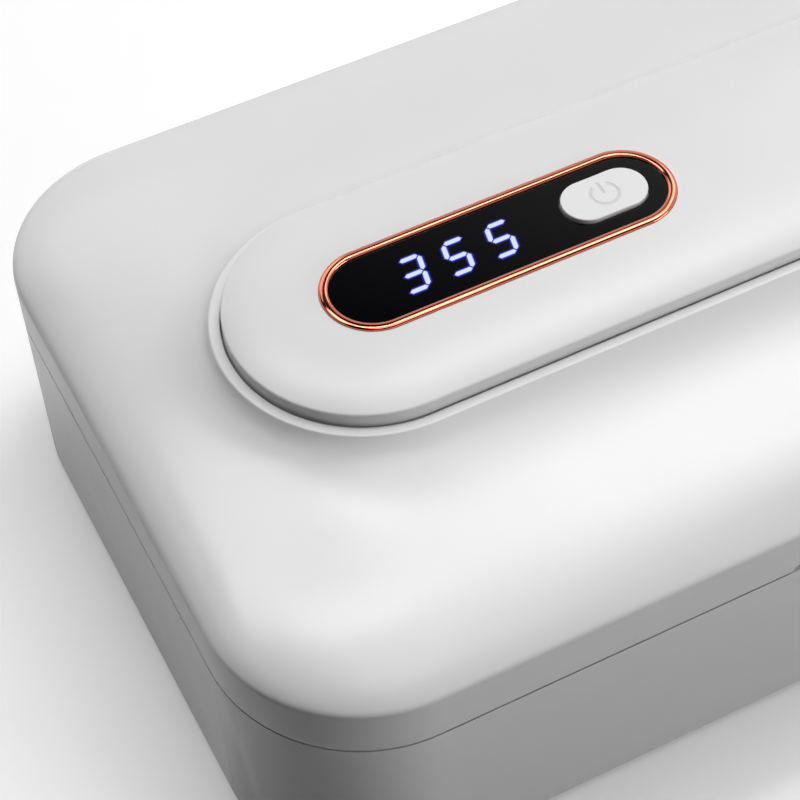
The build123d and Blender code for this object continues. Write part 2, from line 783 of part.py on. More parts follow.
def pod_profile():
    """Half section of the pod: a side wall and a top that falls as the fourth power."""
    edge_r = POD_HALF_W
    controls = [(edge_r * i / 4, 0, POD_TOP) for i in range(4)] + [(edge_r, 0, POD_EDGE_Z)]
    top = Edge.make_bezier(*[Vector(*p) for p in controls])
    path = [(edge_r, 0, POD_EDGE_Z), (edge_r, 0, POD_FLOOR_Z), (0, 0, POD_FLOOR_Z),
            (0, 0, POD_TOP)]
    sides = [Edge.make_line(a, b) for a, b in zip(path, path[1:])]
    return Face(Wire([top] + sides))


def pod_body():
    """Solid pod: a turned half at each end and a straight run between them."""
    half = pod_profile()
    turned = revolve(half, Axis.Z, 360)
    ends = [Pos(s * POD_END_X, 0, 0) * turned for s in (-1, 1)]
    side = Pos(-POD_END_X, 0, 0) * Rot(0, 0, 90) * half
    bar = extrude(side, 2 * POD_END_X, dir=(1, 0, 0))
    return fuse(ends + [bar, mirror(bar, Plane.XZ)])


def pod_cover():
    """Raised platform: a shell with the display pocket and screw bosses."""
    body = pod_body()
    edge = [e for e in body.edges() if abs(e.center().Z - POD_EDGE_Z) < 0.01]
    body = fillet(edge, POD_EDGE_R)
    roof_low = POD_EDGE_Z - POD_SKIN
    body -= pod_capsule(POD_HALF_W - POD_SIDE_WALL, POD_FLOOR_Z - PAST, roof_low)
    centre_low = POD_TOP - POD_SKIN - POD_POCKET_DROP
    pocket = (BEZEL_HALF_L + POD_POCKET_L, BEZEL_HALF_W + POD_POCKET_W)
    body -= capsule(*pocket, POD_FLOOR_Z, centre_low, DISPLAY_X)
    pilot_r = SMALL_SCREW_R + SCREW_FIT
    for x, y in corners(POD_SCREW_X, POD_SCREW_Y):
        body += post(x, y, POD_BOSS_R, POD_FLOOR_Z, roof_low + LAP)
        body -= post(x, y, pilot_r, POD_FLOOR_Z - PAST, POD_FLOOR_Z + POD_SCREW_DEPTH)
    for x, y in display_screw_places():
        body += post(x, y, DISPLAY_BOSS_R, DISPLAY_BOARD_TOP, centre_low + POD_POCKET_DROP)
    top = POD_TOP + PAST
    opening = (BEZEL_HALF_L + TRIM_CLEAR, BEZEL_HALF_W + TRIM_CLEAR)
    body -= capsule(*opening, WINDOW_LOW, top, DISPLAY_X)
    land = BEZEL_WIDTH + WINDOW_LAND
    body -= capsule(BEZEL_HALF_L - land, BEZEL_HALF_W - land, POD_FLOOR_Z, top, DISPLAY_X)
    for x, y in display_screw_places():
        body -= post(x, y, pilot_r, POD_FLOOR_Z, DISPLAY_BOARD_TOP + BOARD_PILOT_DEPTH)
    return body


def pod_screws():
    """Screws up through the pod floor into the pod cover."""
    seat = POD_FLOOR_Z - POD_FLOOR_T
    depth = POD_FLOOR_T + POD_SCREW_DEPTH - SCREW_TIP_CLEAR
    return Compound(
        children=[
            screw(x, y, seat, depth, SMALL_SCREW_R, SMALL_HEAD_R, SMALL_HEAD_H)
            for x, y in corners(POD_SCREW_X, POD_SCREW_Y)
        ]
    )


def display_screw_places():
    """Where the display board's screws stand."""
    return [(DISPLAY_X + x, y) for x, y in corners(DISPLAY_SCREW_DX, DISPLAY_SCREW_DY)]


def bezel_ring():
    """Bright rounded trim ring round the window."""
    high = POD_TOP + BEZEL_PROUD
    ring = capsule(BEZEL_HALF_L, BEZEL_HALF_W, WINDOW_LOW, high, DISPLAY_X)
    ring -= capsule(BEZEL_IN_L, BEZEL_IN_W, WINDOW_LOW - PAST, high + PAST, DISPLAY_X)
    return fillet(ring.faces().sort_by(Axis.Z)[-1].edges(), BEZEL_FILLET_R)


# Digits: seven bars each, leaning to the right

BARS_ON = {"3": "abcdg", "5": "acdfg"}


def bar_outline(name, grow):
    """Corner points of one bar, upright digit, centred on the digit."""
    half_w = (DIGIT_W - STROKE) / 2
    half_h = (DIGIT_H - STROKE) / 2
    level = {"a": half_h, "g": 0.0, "d": -half_h}
    side = {"b": (half_w, 0.5), "c": (half_w, -0.5), "e": (-half_w, -0.5), "f": (-half_w, 0.5)}
    t = STROKE / 2 + grow
    if name in level:
        reach = half_w - STROKE_GAP + grow
        y = level[name]
        return [(-reach, y), (t - reach, y + t), (reach - t, y + t),
                (reach, y), (reach - t, y - t), (t - reach, y - t)]
    x, sign = side[name]
    centre = sign * half_h
    reach = half_h / 2 - STROKE_GAP + grow
    return [(x, centre - reach), (x + t, centre - reach + t), (x + t, centre + reach - t),
            (x, centre + reach), (x - t, centre + reach - t), (x - t, centre - reach + t)]


def digit_bars(lit, low, high, grow=0.0):
    """The lit or the dark bars of all digits, as upright prisms."""
    lean = math.tan(math.radians(DIGIT_SLANT))
    bars = []
    for i, digit in enumerate(DIGITS_SHOWN):
        centre_x = DISPLAY_X + DIGITS_X + (i - (len(DIGITS_SHOWN) - 1) / 2) * DIGIT_PITCH
        for name in "abcdefg":
            if (name in BARS_ON[digit]) != lit:
                continue
            points = [
                Vector(centre_x + x + lean * y, DIGITS_Y + y, low)
                for x, y in bar_outline(name, grow)
            ]
            bars.append(extrude(Face(Wire.make_polygon(points)), high - low, dir=(0, 0, 1)))
    return bars


def display_window():
    """Dark glossy panel with openings for the digit bars and the button."""
    grow = TRIM_CLEAR
    panel = capsule(BEZEL_IN_L - grow, BEZEL_IN_W - grow, WINDOW_LOW, WINDOW_TOP, DISPLAY_X)
    gap = BUTTON_CLEAR
    low, high = WINDOW_LOW - PAST, WINDOW_TOP + PAST
    panel -= capsule(
        BUTTON_HALF_L + gap, BUTTON_HALF_W + gap, low, high, DISPLAY_X + BUTTON_X, BUTTON_Y
    )
    for lit in (True, False):
        for bar in digit_bars(lit, low, high, BAR_CLEAR):
            panel -= bar
    return panel


def segment_display():
    """Block that holds the light-emitting digits, under the window."""
    x = DISPLAY_X + DIGITS_X
    height = MODULE_TOP - DISPLAY_BOARD_TOP
    return block(x, DIGITS_Y, DISPLAY_BOARD_TOP, MODULE_L, MODULE_W, height)


def display_board():
    """Circuit board behind the window, screwed under the pod cover."""
    board = block(DISPLAY_X, 0, DISPLAY_BOARD_Z, DISPLAY_BOARD_L, DISPLAY_BOARD_W, BOARD_T)
    for x, y in display_screw_places():
        low, high = DISPLAY_BOARD_Z - PAST, DISPLAY_BOARD_TOP + PAST
        board -= post(x, y, SMALL_SCREW_R + HEAD_CLEAR, low, high)
    return board


def display_board_screws():
    """Screws up through the display board into the pod cover's bosses."""
    depth = BOARD_T + BOARD_SCREW_DEPTH
    return Compound(
        children=[
            screw(x, y, DISPLAY_BOARD_Z, depth, SMALL_SCREW_R, SMALL_HEAD_R, SMALL_HEAD_H)
            for x, y in display_screw_places()
        ]
    )


# Power button

def power_button():
    """Pill-shaped key cap with a flange that keeps it under the window."""
    x, y = DISPLAY_X + BUTTON_X, BUTTON_Y
    cap = capsule(BUTTON_HALF_L, BUTTON_HALF_W, FLANGE_LOW, BUTTON_TOP, x, y)
    cap = fillet(cap.faces().sort_by(Axis.Z)[-1].edges(), BUTTON_EDGE_R)
    flange_l = BUTTON_HALF_L + BUTTON_FLANGE
    flange_w = BUTTON_HALF_W + BUTTON_FLANGE
    cap += capsule(flange_l, flange_w, FLANGE_LOW, FLANGE_LOW + BUTTON_FLANGE_T, x, y)
    return cap - power_symbol(x, y)


def power_symbol(x, y):
    """Engraving: an open ring with an upright stroke through its gap."""
    outer = SYMBOL_R + SYMBOL_STROKE / 2
    inner = SYMBOL_R - SYMBOL_STROKE / 2
    ring = Circle(outer) - Circle(inner)
    half = math.radians(SYMBOL_GAP_DEG / 2)
    far = 2 * outer
    wedge = Polygon(
        (0, 0), (far * math.sin(half), far * math.cos(half)),
        (-far * math.sin(half), far * math.cos(half)), align=None,
    )
    stroke = RectangleRounded(SYMBOL_STROKE, SYMBOL_BAR_L, SYMBOL_STROKE * 0.45)
    mark = ring - wedge + Pos(0, SYMBOL_BAR_Y) * stroke
    return Pos(x, y, BUTTON_TOP - SYMBOL_DEPTH) * extrude(mark, SYMBOL_DEPTH + PAST)


def switch_plunger():
    """Stem of the switch, which the key cap rests on."""
    x, y = DISPLAY_X + BUTTON_X, BUTTON_Y
    bore_low = SWITCH_TOP - SWITCH_BORE_DEPTH
    return post(x, y, PLUNGER_R, bore_low + BUTTON_TRAVEL + PLUNGER_CLEAR, FLANGE_LOW)


def button_switch():
    """Switch body on the display board, bored for its plunger."""
    x, y = DISPLAY_X + BUTTON_X, BUTTON_Y
    height = SWITCH_TOP - DISPLAY_BOARD_TOP
    bore_low = SWITCH_TOP - SWITCH_BORE_DEPTH
    body = block(x, y, DISPLAY_BOARD_TOP, SWITCH_SIZE, SWITCH_SIZE, height)
    return body - post(x, y, PLUNGER_R + PLUNGER_CLEAR, bore_low, SWITCH_TOP + PAST)


# Electronics in the lid

def main_board():
    """Control board hung from the lid's bosses."""
    board = block(MAIN_X, MAIN_Y, MAIN_Z, MAIN_L, MAIN_W, MAIN_T)
    for x, y in main_screw_places():
        board -= post(x, y, SMALL_SCREW_R + HEAD_CLEAR, MAIN_Z - PAST, MAIN_TOP + PAST)
    return board


def main_board_screws():
    """Screws up through the main board."""
    depth = MAIN_T + BOARD_SCREW_DEPTH
    return Compound(
        children=[
            screw(x, y, MAIN_Z, depth, SMALL_SCREW_R, SMALL_HEAD_R, SMALL_HEAD_H)
            for x, y in main_screw_places()
        ]
    )


def usb_socket():
    """Charging socket: a thin metal mouth with its contact tongue."""
    mouth = WIDTH / 2 - SOCKET_SINK
    shell = socket_box(0.0)
    round_r = SOCKET_H / 2 - TRIM_CLEAR
    shell = fillet(shell.edges().filter_by(Axis.Y), round_r)
    depth = SOCKET_L - SOCKET_BACK + PAST
    size = (SOCKET_W - 2 * SOCKET_WALL, depth, SOCKET_H - 2 * SOCKET_WALL)
    hollow = block(SOCKET_X, mouth + PAST - depth / 2, MAIN_TOP + SOCKET_WALL, *size)
    hollow = fillet(hollow.edges().filter_by(Axis.Y), round_r - SOCKET_WALL)
    tongue_y = mouth - SOCKET_L + SOCKET_BACK - LAP + TONGUE_L / 2
    tongue_low = MAIN_TOP + (SOCKET_H - TONGUE_T) / 2
    tongue = block(SOCKET_X, tongue_y, tongue_low, TONGUE_W, TONGUE_L, TONGUE_T)
    return shell - hollow + tongue


def connector_places():
    """Main-board plugs: battery lead, lamp leads and display cable."""
    left = MAIN_X - MAIN_L / 2
    front = MAIN_Y - MAIN_W / 2
    return {
        "battery": (left + CONNECTOR_L / 2, MAIN_Y + BATTERY_PLUG_DY, CONNECTOR_L, CONNECTOR_W),
        "lamps": (MAIN_X + LAMP_PLUG_DX, front + CONNECTOR_L / 2, CONNECTOR_W, CONNECTOR_L),
        "display": (MAIN_X + DISPLAY_PLUG_DX, front + CONNECTOR_L / 2, CONNECTOR_W, CONNECTOR_L),
    }


def board_connectors():
    """Plug-in connectors on the main board's edges."""
    return Compound(
        children=[
            block(x, y, MAIN_TOP, size_x, size_y, CONNECTOR_H)
            for x, y, size_x, size_y in connector_places().values()
        ]
    )


def board_chips():
    """Controller, charger and power chips."""
    return Compound(
        children=[
            block(MAIN_X + dx, MAIN_Y + dy, MAIN_TOP, side, side, high)
            for dx, dy, side, high in CHIPS
        ]
    )


def boost_inductor():
    """Square coil that drives the lamps."""
    size = (INDUCTOR_SIZE, INDUCTOR_SIZE, INDUCTOR_H)
    coil = block(MAIN_X + INDUCTOR_DX, MAIN_Y + INDUCTOR_DY, MAIN_TOP, *size)
    return chamfer(coil.edges().filter_by(Axis.Z), INDUCTOR_BREAK)


def buzzer():
    """Round sounder with its sound hole."""
    x, y = MAIN_X + BUZZER_DX, MAIN_Y + BUZZER_DY
    top = MAIN_TOP + BUZZER_H
    body = post(x, y, BUZZER_R, MAIN_TOP, top)
    return body - post(x, y, BUZZER_HOLE_R, top - BUZZER_HOLE_DEPTH, top + PAST)


def reed_switch():
    """Glass contact under the board, above the interlock magnet."""
    y = MAIN_Y + MAIN_W / 2 - REED_INSET
    return Pos(INTERLOCK_X, y, MAIN_Z - REED_R) * Rot(0, 90, 0) * Cylinder(REED_R, REED_L)


def battery_cell():
    """Flat rechargeable cell."""
    cell = block(BATTERY_X, BATTERY_Y, COVER_TOP + TAPE_T, BATTERY_L, BATTERY_W, BATTERY_H)
    return fillet(cell.edges().filter_by(Axis.Y), BATTERY_EDGE_R)


def battery_tape():
    """Foam tape under the cell."""
    size = (BATTERY_L - 2 * TAPE_INSET, BATTERY_W - 2 * TAPE_INSET, TAPE_T)
    return block(BATTERY_X, BATTERY_Y, COVER_TOP, *size)


def tube(points, radii, r):
    """Round lead along straight runs joined by arcs."""
    path = FilletPolyline(*points, radius=radii)
    start = Plane(origin=points[0], z_dir=Vector(*points[1]) - Vector(*points[0]))
    return sweep(start * Circle(r), path=path)


def battery_leads():
    """Two wires from the cell to the main board."""
    _, y, _, _ = connector_places()["battery"]
    start_x = BATTERY_X + BATTERY_L / 2
    end_x = MAIN_X - MAIN_L / 2
    low = COVER_TOP + TAPE_T + BATTERY_H / 2
    high = MAIN_TOP + CONNECTOR_H / 2
    run = (end_x - start_x) / 3
    leads = []
    for sign in (-1, 1):
        at_y = y + sign * LEAD_PITCH / 2
        points = [(start_x, at_y, low), (start_x + run, at_y, low),
                  (end_x - run, at_y, high), (end_x, at_y, high)]
        leads.append(tube(points, [LEAD_ARC_R] * 2, LEAD_R))
    return Compound(children=leads)


def lamp_leads():
    """Wires that join the lamp boards to each other and to the main board."""
    board_top = LAMP_BOARD_Z + LAMP_BOARD_T
    arch = board_top + LEAD_ARCH
    inner_x = LAMP_X - LAMP_L / 2 + LEAD_INSET
    leads = []
    for sign in (-1, 1):
        y = sign * LEAD_PITCH
        points = [(-inner_x, y, board_top), (-inner_x, y, arch),
                  (inner_x, y, arch), (inner_x, y, board_top)]
        leads.append(tube(points, [LEAD_TURN_R] * 2, LEAD_R))
    plug_x, plug_y, _, size_y = connector_places()["lamps"]
    front = plug_y - size_y / 2
    high = MAIN_TOP + CONNECTOR_H / 2
    for sign in (-1, 1):
        x = plug_x + sign * LEAD_PITCH / 2
        points = [(x, 6.0, board_top), (x, 6.0, arch), (x, front - 12.0, arch),
                  (x, front - 6.0, high), (x, front, high)]
        leads.append(tube(points, [LEAD_TURN_R, 8.0, LEAD_ARC_R], LEAD_R))
    return Compound(children=leads)


def display_cable():
    """Round cable from the display board down to the main board."""
    plug_x, plug_y, _, size_y = connector_places()["display"]
    front = plug_y - size_y / 2
    high = MAIN_TOP + CONNECTOR_H / 2
    start_x = DISPLAY_X + DISPLAY_BOARD_L / 2 - 8.0
    start_z = DISPLAY_BOARD_Z
    points = [(start_x, 4.0, start_z), (start_x, 4.0, start_z - 6.0),
              (start_x + 8.0, 16.0, start_z - 7.5), (plug_x, front - 9.0, high),
              (plug_x, front, high)]
    return tube(points, [4.0, 8.0, 5.0], CABLE_R)


save("base_shell", base_shell())
save("chamber_liner", chamber_liner())
save("liner_screws", liner_screws())
save("rubber_feet", rubber_feet())
save("base_magnets", base_magnet_set(0.0))
save("interlock_magnet", interlock(0.0))
save("lid_seal", lid_seal())
save("hinge_pins", hinge_pins())
save("lid_shell", lid_shell())
save("lid_inner_cover", lid_inner_cover())
save("lid_reflector", lid_reflector())
save("inner_cover_screws", inner_cover_screws())
save("lid_magnets", cover_magnets(0.0))
save("lamp_plates", lamp_plates())
save("lamp_boards", lamp_boards())
save("lamp_chips", lamp_chips())
save("lamp_screws", lamp_screws())
save("pod_cover", pod_cover())
save("pod_screws", pod_screws())
save("bezel_ring", bezel_ring())
save("display_window", display_window())
save("lit_segments", Compound(children=digit_bars(True, MODULE_TOP, WINDOW_TOP)))
save("dark_segments", Compound(children=digit_bars(False, MODULE_TOP, WINDOW_TOP)))
save("segment_display", segment_display())
save("display_board", display_board())
save("display_board_screws", display_board_screws())
save("power_button", power_button())
save("switch_plunger", switch_plunger())
save("button_switch", button_switch())
save("main_board", main_board())
save("main_board_screws", main_board_screws())
save("usb_socket", usb_socket())
save("board_connectors", board_connectors())
save("board_chips", board_chips())
save("boost_inductor", boost_inductor())
save("buzzer", buzzer())
save("reed_switch", reed_switch())
save("battery_cell", battery_cell())
save("battery_tape", battery_tape())
save("battery_leads", battery_leads())
save("lamp_leads", lamp_leads())
save("display_cable", display_cable())
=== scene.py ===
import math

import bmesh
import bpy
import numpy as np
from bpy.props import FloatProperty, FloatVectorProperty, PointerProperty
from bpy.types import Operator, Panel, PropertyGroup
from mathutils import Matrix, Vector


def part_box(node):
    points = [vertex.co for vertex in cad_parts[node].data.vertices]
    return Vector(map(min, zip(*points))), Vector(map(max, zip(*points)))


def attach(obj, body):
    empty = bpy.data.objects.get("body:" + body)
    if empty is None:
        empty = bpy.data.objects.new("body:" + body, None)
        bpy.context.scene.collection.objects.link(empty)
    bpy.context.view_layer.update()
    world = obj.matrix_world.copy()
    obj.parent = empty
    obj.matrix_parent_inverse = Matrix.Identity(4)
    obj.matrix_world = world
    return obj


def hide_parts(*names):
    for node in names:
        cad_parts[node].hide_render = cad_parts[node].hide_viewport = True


bl_info = {
    "name": "Ultraviolet Sterilizer Box",
    "version": (1, 0, 0),
    "blender": (4, 5, 0),
    "location": "View3D > Sidebar > Sterilizer",
    "description": "Skins, finishes and studio for a table-top ultraviolet sterilizer box",
    "category": "Object",
}

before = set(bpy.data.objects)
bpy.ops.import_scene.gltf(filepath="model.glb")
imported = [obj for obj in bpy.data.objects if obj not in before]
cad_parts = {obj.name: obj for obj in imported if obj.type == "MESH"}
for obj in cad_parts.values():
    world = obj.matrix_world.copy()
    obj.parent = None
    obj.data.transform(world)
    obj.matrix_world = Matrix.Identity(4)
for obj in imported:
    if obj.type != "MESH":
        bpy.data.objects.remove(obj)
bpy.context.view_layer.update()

MM = 0.001
TAU = 2 * math.pi


# Places and sizes read from the frame

def middle(node, axis):
    """Centre of a node's box along one axis, 0 to 2."""
    low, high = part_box(node)
    return (low[axis] + high[axis]) / 2


def half(node, axis):
    """Half of a node's size along one axis."""
    low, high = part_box(node)
    return (high[axis] - low[axis]) / 2


CASING_Y = middle("chamber_liner", 1)
CASING_HALF_L = half("base_shell", 0)
CASING_HALF_W = CASING_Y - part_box("base_shell")[0][1]
HINGE_Y = middle("hinge_pins", 1)
HINGE_Z = middle("hinge_pins", 2)
LID_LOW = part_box("lid_inner_cover")[0][2]
COLLAR_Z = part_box("lid_shell")[1][2]
POD_HALF_W = half("pod_cover", 1)
POD_END_X = half("pod_cover", 0) - POD_HALF_W
POD_FLOOR_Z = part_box("pod_cover")[0][2]
POD_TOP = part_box("pod_cover")[1][2]
WINDOW_X = middle("display_window", 0)
WINDOW_HALF_L = half("display_window", 0)
WINDOW_HALF_W = half("display_window", 1)
WINDOW_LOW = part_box("display_window")[0][2]
WINDOW_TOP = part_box("display_window")[1][2]
BEZEL_HALF_W = half("bezel_ring", 1)
BEZEL_RUN = WINDOW_HALF_L - WINDOW_HALF_W
BEZEL_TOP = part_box("bezel_ring")[1][2]
BUTTON_X = middle("power_button", 0)
BUTTON_Y = middle("power_button", 1)
BUTTON_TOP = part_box("power_button")[1][2]
BUTTON_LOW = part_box("power_button")[0][2]
FLANGE_HALF_L = half("power_button", 0)
FLANGE_HALF_W = half("power_button", 1)
DIGITS_X = middle("segment_display", 0)
DIGITS_Y = middle("segment_display", 1)
SOCKET_X = middle("usb_socket", 0)
SOCKET_Z = middle("usb_socket", 2)
SOCKET_HALF_W = half("usb_socket", 0)
SOCKET_HALF_H = half("usb_socket", 2)


# Fits and hinges

CROWN_UNDERLAP = 0.2 * MM
CAP_LAP = 0.4 * MM
SOCKET_CLEAR = 0.2 * MM
POD_WALL_RING = 1.0 * MM
BEZEL_LIP = 0.22 * MM
BEZEL_CREST = 0.42
HINGE_X = 62.0 * MM
KNUCKLE_R = 2.8 * MM
KNUCKLE_MID_L = 15.2 * MM
KNUCKLE_SIDE_L = 7.0 * MM
KNUCKLE_GAP = 0.4 * MM
KNUCKLE_EDGE = 0.2 * MM
RELIEF = 0.4 * MM
BORE_R = 1.25 * MM
WEB_H = 6.0 * MM
WEB_LAND = 0.5 * MM
WEB_ROOT = 1.2 * MM

# Steps of the grids, fine enough for smooth highlights close up

SIDE_MARKS = 83
NOTCH_STEPS = 9
NOTCH_END = 0.02 * MM
POD_FLOOR_STEPS = 5
ROLL_STEPS = 10
HOLLOW_STEPS = 8
CROWN_STEPS = 46
EDGE_STEPS = 12
SIDE_STEPS = 5
SEAM_STEPS = 5
ROOF_STEPS = 24
RING_STEPS = 48
BARREL_STEPS = 120
POD_SIDE_STEPS = 72
POD_END_STEPS = 64
POD_TOP_STEPS = 40
POD_EDGE_STEPS = 7
BEZEL_SIDE_STEPS = 60
BEZEL_END_STEPS = 72
BEZEL_OUTER_STEPS = 9
BEZEL_INNER_STEPS = 7
KEY_SIDE_STEPS = 64
KEY_END_STEPS = 84
KEY_TOP_STEPS = 50
KEY_EDGE_STEPS = 7

# Spacing of the rings on the pod's top, and the least cosine that counts as facing
POD_TOP_EASE = 0.8
TINY = 1e-9


# Sizes and colours that a user would change

def linear(hex_colour):
    """Linear RGB of an sRGB colour written as #RRGGBB."""
    parts = [int(hex_colour[i:i + 2], 16) / 255 for i in (1, 3, 5)]
    return tuple(p / 12.92 if p <= 0.04045 else ((p + 0.055) / 1.055) ** 2.4 for p in parts)


def length(name, millimetres, description):
    """Length property with its default in millimetres."""
    return FloatProperty(name=name, description=description, default=millimetres * MM,
                         unit="LENGTH", subtype="DISTANCE", precision=5)


def degrees(name, value, description):
    """Angle property with its default in degrees."""
    return FloatProperty(name=name, description=description, default=math.radians(value),
                         unit="ROTATION", subtype="ANGLE")


def tint(name, hex_colour, description):
    """Colour property with its default in sRGB hex."""
    return FloatVectorProperty(name=name, description=description, subtype="COLOR", size=3,
                               min=0.0, max=1.0, default=linear(hex_colour))


class SterilizerLid(PropertyGroup):
    """Sizes of the lid's skin, from the collar round the pod down to the seam"""
    corner_r: length("Corner radius", 28.0, "Plan radius of the casing's corners")
    wall: length("Wall", 2.4, "Thickness of the side walls")
    roof: length("Roof", 2.2, "Drop from the crown to its underside")
    crease_z: length("Crease height", 49.8, "Height of the edge between crown and wall")
    crease_r: length("Crease radius", 1.8, "Rounding of that edge")
    collar_gap: length("Collar gap", 0.35, "Gap between the pod and the collar round it")
    collar_rim: length("Collar rim", 2.15, "Width of the collar")
    collar_in_r: length("Collar inner rounding", 0.15, "Rounding of the collar's inner edge")
    collar_out_r: length("Collar outer rounding", 0.55, "Rounding of the collar's outer edge")
    collar_turn: degrees("Collar turn", 8.0, "Turn of the hollow between collar and crown")
    flare_start: length("Flare start", 0.5, "Drop from the collar's top to the crown's start")
    flare_drop: length("Flare drop", 5.95, "Fall of the concave flare's control point")
    flare_run_side: length("Flare run, sides", 9.5, "Its distance outwards on the long sides")
    flare_run_end: length("Flare run, ends", 4.0, "Its distance outwards at the ends")
    shoulder_drop: length("Shoulder drop", 4.55, "Fall of the shoulder's control point")
    tilt_side: degrees("Crease tilt, sides", 27.0, "Crown's tilt at the crease, long sides")
    tilt_end: degrees("Crease tilt, ends", 65.0, "Crown's tilt at the crease, ends")
    pod_floor: length("Pod floor", 2.0, "Thickness of the floor under the pod")
    seam_r: length("Seam rounding", 0.25, "Rounding of the lower edge")
    notch_half: length("Notch half length", 16.0, "Half length of the finger notch")
    notch_rise: length("Notch rise", 1.3, "Height of the finger notch")
    notch_depth: length("Notch depth", 1.5, "Depth of the finger notch into the wall")
    notch_r: length("Notch rounding", 1.2, "Rounding of the notch's ends")


class SterilizerPod(PropertyGroup):
    """Sizes of the raised pod and of the opening for its display"""
    crown: length("Crown", 2.45, "Fall from the pod's centre line to its edge")
    edge_r: length("Edge rounding", 0.5, "Rounding of the pod's edge")
    side_wall: length("Side wall", 1.8, "Thickness of the side wall")
    skin: length("Skin", 2.0, "Thickness of the top")
    opening_gap: length("Opening gap", 0.05, "Gap between the opening and the bezel")
    land: length("Land", 1.25, "Width of the ledge that carries the window")
    bezel_foot: length("Bezel lip", 0.12, "Height of the bezel's outer lip above the pod")


class SterilizerKey(PropertyGroup):
    """Sizes of the power button's cap and of its symbol"""
    flange: length("Flange", 0.9, "Reach of the hidden flange beyond the cap")
    flange_t: length("Flange thickness", 0.8, "Thickness of the flange")
    edge_r: length("Edge rounding", 0.25, "Rounding of the cap's top edge")
    symbol_r: length("Symbol radius", 2.5, "Radius of the power symbol's ring")
    symbol_stroke: length("Symbol stroke", 0.6, "Width of the symbol's lines")
    symbol_depth: length("Symbol depth", 0.12, "Depth of the symbol's groove")
    symbol_soft: length("Symbol softness", 0.12, "Width of the groove's rounded flanks")
    symbol_gap: degrees("Symbol gap", 70.0, "Opening of the ring")
    bar_low: length("Bar's foot", 0.45, "Start of the symbol's upright line")
    bar_high: length("Bar's top", 2.75, "End of the symbol's upright line")


class SterilizerDigits(PropertyGroup):
    """Sizes and colours of the lit digits"""
    width: length("Digit width", 4.8, "Width of a digit")
    height: length("Digit height", 8.1, "Height of a digit")
    pitch: length("Digit pitch", 8.5, "Distance between digits")
    stroke: length("Stroke", 1.0, "Width of a bar")
    bar_gap: length("Bar gap", 0.12, "Shortening of each bar at its ends")
    slant: degrees("Slant", 12.0, "Lean of the digits to the right")
    halo: length("Glow", 0.55, "Reach of the glow round a lit bar")
    core: tint("Lit core", "#D9E0FF", "Colour of a bar's middle")
    rim: tint("Lit rim", "#3A50E6", "Colour of a bar's edge and of its glow")


class SterilizerFinish(PropertyGroup):
    """Colours of the pieces that the eye meets first"""
    casing: tint("Casing", "#E9E9E9", "Satin white of base and lid")
    pod: tint("Pod", "#EAEAEA", "White of the control pod")
    key: tint("Button", "#EDEDED", "White of the power button")
    # the symbol's grey is painted shade for its shallow groove
    symbol: tint("Symbol", "#DDDDDD", "Grey of the moulded power symbol")
    bezel: tint("Bezel", "#C66546", "Copper-red rose gold of the trim ring")
    window: tint("Window", "#040407", "Black of the display window")


class SterilizerStudio(PropertyGroup):
    """Camera and light levels"""
    camera_azimuth: degrees("Camera azimuth", -24.54, "Direction of the camera about Z")
    camera_elevation: degrees("Camera elevation", 51.19, "Height angle of the camera")
    camera_roll: degrees("Camera roll", -2.97, "Turn of the camera about its line of sight")
    camera_distance: length("Camera distance", 383.4, "Distance from the aim point")
    lens: FloatProperty(name="Lens", description="Focal length on a 36 mm sensor",
                        default=103.64, unit="CAMERA")
    lamp_level: FloatProperty(name="Lamp level", description="Scales every lamp",
                              default=1.0, min=0.0)
    ambient: FloatProperty(name="Ambient", description="Strength of the world's own light",
                           default=0.0, min=0.0)


# Surfaces worked out on grids

def grid_mesh(name, points, close_along=True, close_across=False, attributes=None):
    """Mesh of quads over points[i, j]; tidy merges its doubles and turns its faces outwards.

    The first index runs along the path and the second across the profile; either wraps
    round where it is closed.
    """
    rows, cols = points.shape[:2]
    index = np.arange(rows * cols).reshape(rows, cols)
    if close_along:
        index = np.vstack([index, index[:1]])
    if close_across:
        index = np.hstack([index, index[:, :1]])
    quads = np.stack([index[:-1, :-1], index[1:, :-1], index[1:, 1:], index[:-1, 1:]], axis=-1)
    mesh = bpy.data.meshes.new(name)
    mesh.from_pydata(points.reshape(-1, 3), [], quads.reshape(-1, 4))
    for label, values in (attributes or {}).items():
        layer = mesh.attributes.new(label, "FLOAT", "POINT")
        layer.data.foreach_set("value", np.broadcast_to(values, (rows, cols)).ravel())
    return mesh


def joined(name, meshes):
    """One mesh from several, each already in place."""
    work = bmesh.new()
    for mesh in meshes:
        work.from_mesh(mesh)
        bpy.data.meshes.remove(mesh)
    mesh = bpy.data.meshes.new(name)
    work.to_mesh(mesh)
    work.free()
    return mesh


def tidy(mesh, merge=0.5e-6):
    """Merges doubles and turns every face of a closed mesh outwards."""
    work = bmesh.new()
    work.from_mesh(mesh)
    bmesh.ops.remove_doubles(work, verts=work.verts, dist=merge)
    bmesh.ops.dissolve_degenerate(work, edges=work.edges, dist=merge)
    bmesh.ops.recalc_face_normals(work, faces=work.faces)
    work.to_mesh(mesh)
    work.free()


def piece(mesh, body, material, replaced=(), sharp=35.0):
    """Object of the frame from a mesh: smooth but for its sharp edges, and riding on a body."""
    mesh.polygons.foreach_set("use_smooth", np.ones(len(mesh.polygons), bool))
    mesh.set_sharp_from_angle(angle=math.radians(sharp))
    mesh.materials.append(material)
    thing = bpy.data.objects.new(mesh.name, mesh)
    bpy.context.scene.collection.objects.link(thing)
    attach(thing, body)
    if replaced:
        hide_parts(*replaced)
    return thing


def fanned(centres, along, radius):
    """Plan points: each station's centre plus the radii along its direction.

    centres and along are (stations, 2); radius is (stations, points) or (points,).
    """
    radius = np.broadcast_to(radius, (len(centres), np.shape(radius)[-1]))
    return centres[:, None, :] + along[:, None, :] * radius[..., None]


